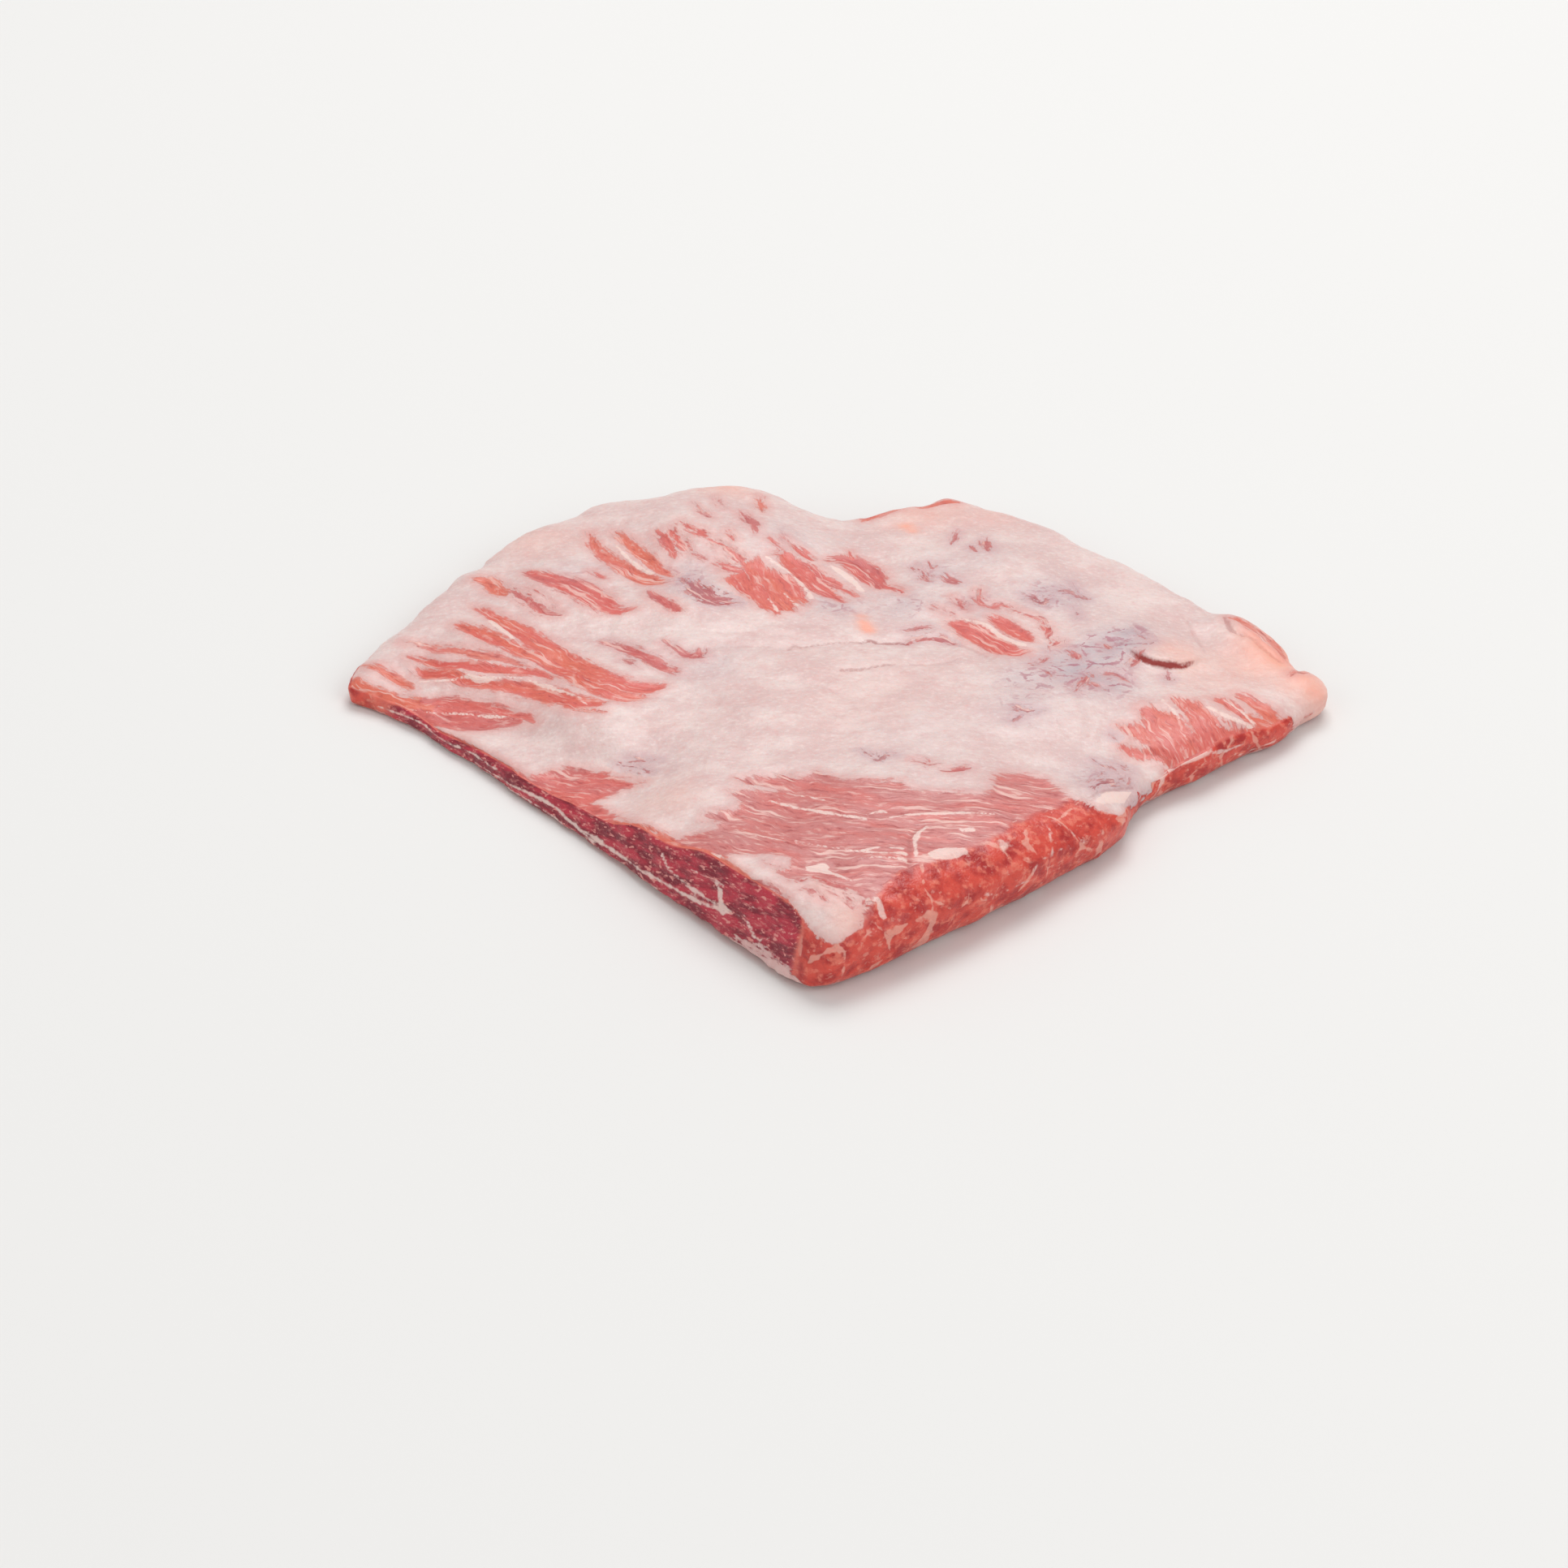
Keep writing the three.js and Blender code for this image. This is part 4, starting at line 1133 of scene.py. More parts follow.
    def relief(
        self, place: np.ndarray, facing: np.ndarray, at: np.ndarray, fields: dict[str, np.ndarray]
    ) -> np.ndarray:
        """How far each point moves out along its normal.

        Args:
            place: Points, in millimetres.
            facing: Their normals. Not used.
            at: Their arc lengths. Not used.
            fields: All fields.

        Returns:
            One height for each point, in millimetres.
        """
        lean, vein = fields["lean"], fields["vein"]
        steep = fields["steep"]
        flat = 1 - steep
        muscle = smooth(lean, -0.4, 1.6)
        height = -self.sink * muscle * flat
        height += self.lip * bell(lean, -1.4, 0.9) * flat
        height += self.vein * smooth(vein, -0.7, 0.4)
        height -= fields["groove"] * flat
        for size, span, seed, calm in zip(self.swell, (7.0, 3.2), (1.0, 5.0), (0.6, 0.4)):
            height += size * lumps(place, span, seed) * (1 - calm * muscle) * flat
        for size, span, seed in zip(self.rough, (5.0, 2.4), (7.0, 9.0)):
            height += size * lumps(place, span, seed) * steep
        run = self.vertex_run(place, fields)
        bundles = lumps(np.column_stack([run[:, 0] / 5.0, run[:, 1], fields["track"] * 3.0]), 2.6, 2.0)
        height += self.ridge * bundles * muscle * flat
        height += self.lift(place)
        return height * (1 - fields["under"])

    def vertex_run(self, place: np.ndarray, fields: dict[str, np.ndarray]) -> np.ndarray:
        """Where each point is along and across the fibres of its window.

        Args:
            place: Points, in millimetres.
            fields: All fields.

        Returns:
            Rows of two numbers, in millimetres.
        """
        run = np.zeros((len(place), 2))
        for number, track in enumerate(self.tracks()):
            ours = (fields["track"] == number) & (fields["lean"] > -2.0)
            if ours.any():
                run[ours] = track.run(place[ours, :2])
        return run

    def lift(self, place: np.ndarray) -> np.ndarray:
        """Height that the lifted scale adds behind its lip, and loses in front of it.

        Args:
            place: Points, in millimetres.

        Returns:
            One height for each point, in millimetres.
        """
        scale = self.scale
        points = place[:, :2]
        near = scale.lip.reach(points)
        inside, _, across = scale.lip.measure(points[near])
        away = np.maximum(0.0, 0.5 - inside) * np.sign(across)
        behind = smooth(away, -0.4, scale.back) * bell(np.maximum(away - scale.back, 0.0), 0.0, scale.fade)
        height = np.zeros(len(points))
        height[near] = scale.rise * behind - scale.crevice * bell(away, -scale.gap, scale.width)
        return height

    def fibres(
        self,
        mesh: bpy.types.Mesh,
        foot: Foot,
        place: np.ndarray,
        wrap: np.ndarray,
        fields: dict[str, np.ndarray],
    ) -> None:
        """Stores where each face corner is along and across the fibres.

        All corners of a face follow the window of its first one. A third number, the same all over a
        window, sets its noise apart from the others'.

        Args:
            mesh: The fine mesh.
            foot: The foot loop.
            place: Its points, in millimetres.
            wrap: Their places along the foot loop and up from it, for the sides.
            fields: All fields.
        """
        corner = np.empty(len(mesh.loops), np.int32)
        mesh.loops.foreach_get("vertex_index", corner)
        starts = np.empty(len(mesh.polygons), np.int32)
        mesh.polygons.foreach_get("loop_start", starts)
        sizes = np.empty(len(mesh.polygons), np.int32)
        mesh.polygons.foreach_get("loop_total", sizes)
        face = np.repeat(np.arange(len(starts)), sizes)
        lead = corner[starts]
        steep = np.clip(fields["cut"] + fields["side"], 0.0, 1.0)
        run = np.zeros((len(corner), 3))
        track_of = fields["track"][lead][face]
        for number, track in enumerate(self.tracks()):
            ours = track_of == number
            if ours.any():
                run[ours, :2] = track.run(place[corner[ours], :2])
                run[ours, 2] = 11.0 * number
        on_side = (steep[lead] > 0.5)[face]
        s, first = wrap[corner, 0], wrap[lead, 0][face]
        wraps = on_side & (np.abs(s - first) > foot.length / 2)
        s = np.where(wraps, s + np.sign(first - s) * foot.length, s)
        run[on_side] = np.column_stack([s, wrap[corner, 1], np.zeros_like(s)])[on_side]
        below = (fields["under"][lead] > 0.5)[face]
        run[below, :2] = place[corner[below], :2] @ UNDER_GRAIN
        run[below, 2] = 500.0
        stored = mesh.attributes.new(Attribute.FIBRE.value, "FLOAT_VECTOR", "CORNER")
        stored.data.foreach_set("vector", run.astype(np.float32).ravel())

    def store(self, mesh: bpy.types.Mesh, fields: dict[str, np.ndarray]) -> None:
        """Stores the fields on the mesh's points, three to an attribute.

        Args:
            mesh: The fine mesh.
            fields: All fields.
        """
        for name, keys in FIELDS.items():
            rows = np.column_stack([np.clip(fields[key], -FAR, FAR) for key in keys])
            stored = mesh.attributes.new(name.value, "FLOAT_VECTOR", "POINT")
            stored.data.foreach_set("vector", rows.astype(np.float32).ravel())


# ---------------------------------------------------------------- finishes


Feed = bpy.types.Node | bpy.types.NodeSocket | float | tuple  # what may feed a socket

SMOOTH = {"interpolation_type": "SMOOTHSTEP"}
TIMES = {"operation": "MULTIPLY"}
TIMES_PLUS = {"operation": "MULTIPLY_ADD"}
LARGER = {"operation": "MAXIMUM"}
COLOURS = {"data_type": "RGBA", "clamp_factor": True}
NUMBERS = {"data_type": "FLOAT", "clamp_factor": True}


class Canvas:
    """A material's node tree, with the slab's fields.

    Attributes:
        tree: The node tree.
        fields: Socket of each field, by the field's name.
        fibre: Socket of the place along and across the fibres, in millimetres.
        place: Node of the place in space, in millimetres.
    """

    def __init__(self, tree: bpy.types.NodeTree) -> None:
        """Reads the fields.

        Args:
            tree: The material's node tree.
        """
        self.tree = tree
        self.fields: dict[str, bpy.types.NodeSocket] = {}
        for name, keys in FIELDS.items():
            read = self.add("ShaderNodeAttribute", {"attribute_name": name.value})
            parts = self.add("ShaderNodeSeparateXYZ", inputs={0: read.outputs["Vector"]})
            self.fields |= dict(zip(keys, parts.outputs))
        along = self.add("ShaderNodeAttribute", {"attribute_name": Attribute.FIBRE.value})
        self.fibre = along.outputs["Vector"]
        inputs = {"Vector": self.add("ShaderNodeTexCoord").outputs["Object"], "Scale": 1 / MM}
        self.place = self.add("ShaderNodeVectorMath", {"operation": "SCALE"}, inputs)

    def add(self, kind: str, settings: dict | None = None, inputs: dict | None = None) -> bpy.types.Node:
        """Adds a node with its settings and links.

        Args:
            kind: Blender's name of the node type.
            settings: Properties of the node.
            inputs: What feeds each socket in use, by its name or number: a value, a socket, or a node,
                which gives its first output in use.

        Returns:
            The new node.
        """
        node = self.tree.nodes.new(kind)
        for name, value in (settings or {}).items():
            setattr(node, name, value)
        for key, value in (inputs or {}).items():
            used = [socket for socket in node.inputs if socket.enabled]
            socket = used[key] if isinstance(key, int) else next(s for s in used if s.name == key)
            if isinstance(value, bpy.types.Node):
                value = next(output for output in value.outputs if output.enabled)
            if isinstance(value, bpy.types.NodeSocket):
                self.tree.links.new(value, socket)
            else:
                socket.default_value = value
        return node

    def total(self, start: Feed, *terms: tuple[Feed, float]) -> bpy.types.Node:
        """Adds up patterns, each by its weight.

        Args:
            start: What they are added to.
            terms: Patterns, each with its weight.

        Returns:
            The sum.
        """
        for pattern, weight in terms:
            start = self.add("ShaderNodeMath", TIMES_PLUS, {0: pattern, 1: weight, 2: start})
        return start


@dataclass(frozen=True)
class Grain:
    """Seeded lumps or streaks, with values around one half.

    Attributes:
        size: Distance between two of them along each axis, in millimetres.
        detail: How many finer layers they have.
        seed: Shift that makes them differ from the others.
    """

    size: tuple[float, float, float]
    detail: float
    seed: float

    def draw(self, canvas: Canvas, where: Feed) -> bpy.types.Node:
        """Draws them on a canvas.

        Args:
            canvas: The material's canvas.
            where: Coordinates, in millimetres.

        Returns:
            The pattern.
        """
        moves = {
            "Vector": where,
            "Location": (self.seed, self.seed * 0.7, self.seed * 0.3),
            "Scale": tuple(1 / size for size in self.size),
        }
        moved = canvas.add("ShaderNodeMapping", {"vector_type": "POINT"}, moves)
        inputs = {"Vector": moved, "Scale": 1.0, "Detail": self.detail, "Roughness": 0.55}
        return canvas.add("ShaderNodeTexNoise", inputs=inputs)


@dataclass(frozen=True)
class Web:
    """Thin branching lines, bent by a grain and broken where it is high.

    Attributes:
        cell: Distance between two lines, in millimetres.
        bend: The grain.
        sway: Its weight.
        start: Level where the lines start.
        full: Level where they are full.
        share: Their share there.
    """

    cell: float
    bend: Grain
    sway: float
    start: float
    full: float
    share: float

    def draw(self, canvas: Canvas) -> bpy.types.Node:
        """Draws it on a canvas.

        Args:
            canvas: The material's canvas.

        Returns:
            The share of the lines.
        """
        inputs = {"Vector": canvas.place, "Scale": 1 / self.cell}
        lines = canvas.add("ShaderNodeTexVoronoi", {"feature": "DISTANCE_TO_EDGE"}, inputs)
        bent = canvas.total(lines, (self.bend.draw(canvas, canvas.place), self.sway))
        inputs = {"Value": bent, "From Min": self.start, "From Max": self.full, "To Max": self.share}
        return canvas.add("ShaderNodeMapRange", SMOOTH, inputs)


@dataclass(frozen=True)
class Tint:
    """A colour that covers another while a pattern goes from one level to another.

    Attributes:
        colour: Its sRGB hex colour.
        start: Level of the pattern where it starts.
        full: Level where it is full.
        share: Its share where it is full.
        filmed: Its share there under a milky film, where that differs.
    """

    colour: str
    start: float
    full: float
    share: float = 1.0
    filmed: float | None = None

    def lay(self, canvas: Canvas, under: Feed, pattern: Feed, only: Feed | None = None) -> bpy.types.Node:
        """Lays it over a colour.

        Args:
            canvas: The material's canvas.
            under: The colour below.
            pattern: The pattern that it follows.
            only: Factor on its share, if there is one.

        Returns:
            The colour with the tint on it.
        """
        most = self.share
        if self.filmed is not None:
            inputs = {"Factor": canvas.fields["film"], "A": self.share, "B": self.filmed}
            most = canvas.add("ShaderNodeMix", NUMBERS, inputs)
        inputs = {"Value": pattern, "From Min": self.start, "From Max": self.full, "To Max": most}
        share = canvas.add("ShaderNodeMapRange", SMOOTH, inputs)
        if only is not None:
            share = canvas.add("ShaderNodeMath", TIMES, {0: share, 1: only})
        return canvas.add("ShaderNodeMix", COLOURS, {"Factor": share, "A": under, "B": linear(self.colour)})


@dataclass(frozen=True)
class Wash:
    """A thin tint whose strength is that of a field, made uneven by a pattern.

    Attributes:
        colour: Its sRGB hex colour.
        name: The field's name.
        low: Factor on the field where the pattern is 0.
        high: Factor where it is 1.
    """

    colour: str
    name: str
    low: float
    high: float

    def lay(self, canvas: Canvas, under: Feed, pattern: Feed) -> bpy.types.Node:
        """Lays it over a colour.

        Args:
            canvas: The material's canvas.
            under: The colour below.
            pattern: The pattern that makes it uneven.

        Returns:
            The colour with the wash on it.
        """
        factor = canvas.add("ShaderNodeMix", NUMBERS, {"Factor": pattern, "A": self.low, "B": self.high})
        share = canvas.add("ShaderNodeMath", TIMES, {0: canvas.fields[self.name], 1: factor})
        return canvas.add("ShaderNodeMix", COLOURS, {"Factor": share, "A": under, "B": linear(self.colour)})


@dataclass(frozen=True)
class Look:
    """What a finish hands to the material.

    Attributes:
        colour: Its colour.
        rough: Its roughness.
        height: Its fine relief, in millimetres.
    """

    colour: Feed
    rough: Feed
    height: Feed

    def covered(self, canvas: Canvas, other: "Look", share: Feed, sunk: Feed | None = None) -> "Look":
        """This look with another one over it.

        Args:
            canvas: The material's canvas.
            other: The look that covers it.
            share: How much that one covers it.
            sunk: How much it takes over the relief, where that differs.

        Returns:
            The mixed look.
        """
        relief = share if sunk is None else sunk
        mixed = {}
        for name, settings, factor in (
            ("colour", COLOURS, share),
            ("rough", NUMBERS, share),
            ("height", NUMBERS, relief),
        ):
            inputs = {"Factor": factor, "A": getattr(self, name), "B": getattr(other, name)}
            mixed[name] = canvas.add("ShaderNodeMix", settings, inputs)
        return Look(**mixed)


@dataclass(frozen=True)
class FatCover:
    """Raw pork fat, pulled off and left moist: pale pink and satin, with soft lumps.

    It blushes beside the muscle, and goes blue-grey with a fine purple web where muscle lies just
    under it.

    Attributes:
        base: Its darkest plain colour.
        cream, flush, white, pink: Soft clouds in it, wide to fine.
        clouds, blotches, marbling: Their grains.
        stains: Its warm and cool areas.
        loose: The grain that makes those uneven.
        speck: Purple dashes and lines, by how cool a place is.
        dashes, web: Those.
        halo, bruise: Its blush beside red and beside purple muscle.
        blush: Share of that blush.
        rough: Its roughness.
        fine, soft: Grains of its relief.
    """

    base: str = "d9bab6"
    cream: Tint = Tint("e4cdc8", 0.36, 0.66)
    flush: Tint = Tint("d59f9b", 0.52, 0.72, 0.25)
    white: Tint = Tint("f3e4df", 0.5, 0.72, 0.36)
    pink: Tint = Tint("d59f9b", 0.46, 0.3, 0.3)
    clouds: Grain = Grain((16.0, 12.0, 14.0), 5.0, 3.0)
    blotches: Grain = Grain((5.0, 3.5, 5.0), 4.0, 9.0)
    marbling: Grain = Grain((1.5, 1.1, 1.5), 4.0, 8.0)
    stains: tuple[Wash, ...] = (Wash("f4ab95", "warm", 0.5, 1.4), Wash("b0a2aa", "cool", 1.08, 0.18))
    loose: Grain = Grain((6.0, 6.0, 6.0), 3.0, 21.0)
    speck: Tint = Tint("a8586a", 0.1, 0.7)
    dashes: Grain = Grain((2.8, 1.6, 2.8), 4.0, 51.0)
    web: Web = Web(7.0, Grain((4.0, 4.0, 4.0), 4.0, 57.0), 0.6, 0.315, 0.27, 0.75)
    halo: str = "db938c"
    bruise: Tint = Tint("c29aa0", 0.45, 0.85)
    blush: float = 0.45
    rough: float = 0.46
    fine: Grain = Grain((1.1, 1.1, 1.1), 3.0, 5.0)
    soft: Grain = Grain((3.4, 3.4, 3.4), 2.0, 6.0)

    def paint(self, canvas: Canvas) -> Look:
        """Paints it.

        Args:
            canvas: The material's canvas.

        Returns:
            Its look.
        """
        place, fields = canvas.place, canvas.fields
        loose = self.loose.draw(canvas, place)
        marbling = self.marbling.draw(canvas, place)
        colour = linear(self.base)
        for tint, pattern in (
            (self.cream, self.clouds.draw(canvas, place)),
            (self.flush, self.blotches.draw(canvas, place)),
            (self.white, marbling),
            (self.pink, marbling),
        ):
            colour = tint.lay(canvas, colour, pattern)
        for wash in self.stains:
            colour = wash.lay(canvas, colour, loose)
        dashes = self.dashes.draw(canvas, place)
        inputs = {"Value": dashes, "From Min": 0.55, "From Max": 0.65, "To Max": 0.6}
        bits = canvas.add("ShaderNodeMapRange", SMOOTH, inputs)
        both = canvas.add("ShaderNodeMath", LARGER, {0: bits, 1: self.web.draw(canvas)})
        colour = self.speck.lay(canvas, colour, fields["cool"], both)
        beside = canvas.total(fields["lean"], (loose, 3.0))
        inputs = {"Value": beside, "From Min": -2.6, "From Max": 1.6, "To Max": self.blush}
        share = canvas.add("ShaderNodeMapRange", SMOOTH, inputs)
        halo = self.bruise.lay(canvas, linear(self.halo), fields["tone"])
        colour = canvas.add("ShaderNodeMix", COLOURS, {"Factor": share, "A": colour, "B": halo})
        fine = self.fine.draw(canvas, place)
        soft = self.soft.draw(canvas, place)
        inputs = {"Factor": fine, "A": self.rough - 0.1, "B": self.rough + 0.1}
        rough = canvas.add("ShaderNodeMix", NUMBERS, inputs)
        return Look(colour, rough, canvas.total(0.0, (fine, 0.14), (soft, 0.25)))


@dataclass(frozen=True)
class SurfaceLean:
    """Raw muscle in gaps of the fat, under a thin wet film: coral to dusky purple, in fine bundles.

    Attributes:
        orange: Its lightest plain colour.
        shades: Its darker ones, by the window's tone.
        veil: The milky film.
        rim: Its pale edge.
        pale, dark: Light and dark bundles of fibres.
        threads: Long white threads between them.
        rough: Its roughness.
        sway: The grain that bends the fibres.
        drift: The grain of its tone and film.
        strands, flakes: Grains of the bundles, long and short.
        long: The grain of the threads.
        fine: The grain of single fibres.
    """

    orange: str = "dd6d57"
    shades: tuple[Tint, ...] = (
        Tint("d65d54", 0.0, 0.35),
        Tint("b95053", 0.3, 0.7),
        Tint("964456", 0.65, 1.05),
    )
    veil: Wash = Wash("d99f98", "film", 0.08, 0.88)
    rim: Tint = Tint("d99f98", 1.5, -0.4, 0.4)
    pale: Tint = Tint("efc6bc", 0.52, 0.66, 0.4, 0.62)
    dark: Tint = Tint("a23b3c", 0.48, 0.34, 0.45, 0.8)
    threads: Tint = Tint("efc6bc", 0.57, 0.67, 0.6, 0.8)
    rough: float = 0.36
    sway: Grain = Grain((9.0, 9.0, 9.0), 2.0, 61.0)
    drift: Grain = Grain((16.0, 4.0, 1.0), 2.0, 2.0)
    strands: Grain = Grain((6.0, 1.3, 1.0), 4.0, 4.0)
    flakes: Grain = Grain((2.2, 0.9, 1.0), 3.0, 71.0)
    long: Grain = Grain((18.0, 1.5, 1.0), 3.0, 9.0)
    fine: Grain = Grain((6.0, 0.5, 1.0), 2.0, 6.0)

    def paint(self, canvas: Canvas) -> Look:
        """Paints it.

        Args:
            canvas: The material's canvas.

        Returns:
            Its look.
        """
        fields = canvas.fields
        sway = canvas.total(-2.5, (self.sway.draw(canvas, canvas.place), 5.0))
        aside = canvas.add("ShaderNodeCombineXYZ", inputs={"Y": sway})
        fibre = canvas.add("ShaderNodeVectorMath", {"operation": "ADD"}, {0: canvas.fibre, 1: aside})
        drift = self.drift.draw(canvas, fibre)
        strands = self.strands.draw(canvas, fibre)
        flakes = self.flakes.draw(canvas, fibre)
        bundles = canvas.add("ShaderNodeMix", NUMBERS, {"Factor": 0.42, "A": strands, "B": flakes})
        long = self.long.draw(canvas, fibre)
        tone = canvas.total(-0.35, (fields["tone"], 1.0), (drift, 0.7))
        colour = linear(self.orange)
        for shade in self.shades:
            colour = shade.lay(canvas, colour, tone)
        colour = self.veil.lay(canvas, colour, drift)
        colour = self.rim.lay(canvas, colour, fields["lean"])
        for tint, pattern in ((self.pale, bundles), (self.dark, bundles), (self.threads, long)):
            colour = tint.lay(canvas, colour, pattern)
        fine = self.fine.draw(canvas, fibre)
        height = canvas.total(0.0, (bundles, 0.4), (fine, 0.1), (long, 0.3))
        inputs = {"Factor": bundles, "A": self.rough - 0.06, "B": self.rough + 0.12}
        return Look(colour, canvas.add("ShaderNodeMix", NUMBERS, inputs), height)


@dataclass(frozen=True)
class CutLean:
    """Muscle across the knife's cut: moist crimson, with short pale flecks of marbling.

    Attributes:
        deep: Its darkest colour.
        red: Clouds of lighter red.
        soft_flecks, flecks: Faint and plain marbling.
        crest: The orange edge under the fat.
        slant: Turn of the marbling against the cut's edge, in radians.
        rough: Its roughness.
        drift: The grain of the clouds.
        grain, short: Grains of the marbling, faint and plain.
    """

    deep: str = "80142a"
    red: Tint = Tint("c03144", 0.36, 0.62)
    soft_flecks: Tint = Tint("e89a92", 0.52, 0.7, 0.45)
    flecks: Tint = Tint("e89a92", 0.58, 0.66, 0.8)
    crest: Tint = Tint("e0705f", 1.18, 0.8)
    slant: float = -0.25
    rough: float = 0.34
    drift: Grain = Grain((8.0, 3.0, 1.0), 4.0, 12.0)
    grain: Grain = Grain((2.2, 1.1, 1.0), 4.0, 14.0)
    short: Grain = Grain((2.3, 1.4, 1.0), 3.0, 17.0)

    def paint(self, canvas: Canvas) -> Look:
        """Paints it.

        Args:
            canvas: The material's canvas.

        Returns:
            Its look.
        """
        turned = {"Vector": canvas.fibre, "Rotation": (0.0, 0.0, self.slant)}
        along = canvas.add("ShaderNodeMapping", {"vector_type": "POINT"}, turned)
        drift = self.drift.draw(canvas, along)
        grain = self.grain.draw(canvas, along)
        short = self.short.draw(canvas, along)
        top_edge = canvas.total(canvas.fields["cut"], (grain, 0.4))
        colour = linear(self.deep)
        for tint, pattern in (
            (self.red, drift),
            (self.soft_flecks, grain),
            (self.flecks, short),
            (self.crest, top_edge),
        ):
            colour = tint.lay(canvas, colour, pattern)
        inputs = {"Factor": grain, "A": self.rough - 0.06, "B": self.rough + 0.12}
        rough = canvas.add("ShaderNodeMix", NUMBERS, inputs)
        return Look(colour, rough, canvas.total(0.0, (grain, 0.5), (drift, 0.6)))


@dataclass(frozen=True)
class SideLean:
    """Muscle on the slab's soft sides: orange-red, mottled, under a thin wet skin.

    Attributes:
        red: Its darkest colour.
        orange: Clouds of lighter orange.
        mottle, shade: Light and dark spots.
        vein: Colour of thin pale lines and short dashes.
        web, dashes: Those.
        rough: Its roughness.
        drift: The grain of the clouds.
        spots: The grain of the spots.
    """

    red: str = "ac2624"
    orange: Tint = Tint("d44a3b", 0.34, 0.58)
    mottle: Tint = Tint("e97f6a", 0.5, 0.68, 0.7)
    shade: Tint = Tint("ac2624", 0.46, 0.3, 0.4)
    vein: str = "ecae9d"
    web: Web = Web(11.0, Grain((6.0, 6.0, 6.0), 3.0, 29.0), 0.5, 0.275, 0.235, 0.6)
    dashes: Grain = Grain((2.0, 2.0, 1.3), 4.0, 27.0)
    rough: float = 0.34
    drift: Grain = Grain((6.0, 6.0, 4.0), 4.0, 22.0)
    spots: Grain = Grain((2.6, 2.6, 2.0), 4.0, 24.0)

    def paint(self, canvas: Canvas) -> Look:
        """Paints it.

        Args:
            canvas: The material's canvas.

        Returns:
            Its look.
        """
        place = canvas.place
        drift = self.drift.draw(canvas, place)
        spots = self.spots.draw(canvas, place)
        dashes = self.dashes.draw(canvas, place)
        colour = linear(self.red)
        for tint, pattern in ((self.orange, drift), (self.mottle, spots), (self.shade, spots)):
            colour = tint.lay(canvas, colour, pattern)
        inputs = {"Value": dashes, "From Min": 0.6, "From Max": 0.68, "To Max": 0.35}
        streaks = canvas.add("ShaderNodeMapRange", SMOOTH, inputs)
        lines = canvas.add("ShaderNodeMath", LARGER, {0: self.web.draw(canvas), 1: streaks})
        colour = canvas.add("ShaderNodeMix", COLOURS, {"Factor": lines, "A": colour, "B": linear(self.vein)})
        inputs = {"Factor": spots, "A": self.rough - 0.08, "B": self.rough + 0.1}
        rough = canvas.add("ShaderNodeMix", NUMBERS, inputs)
        return Look(colour, rough, canvas.total(0.0, (spots, 0.6), (drift, 0.6)))


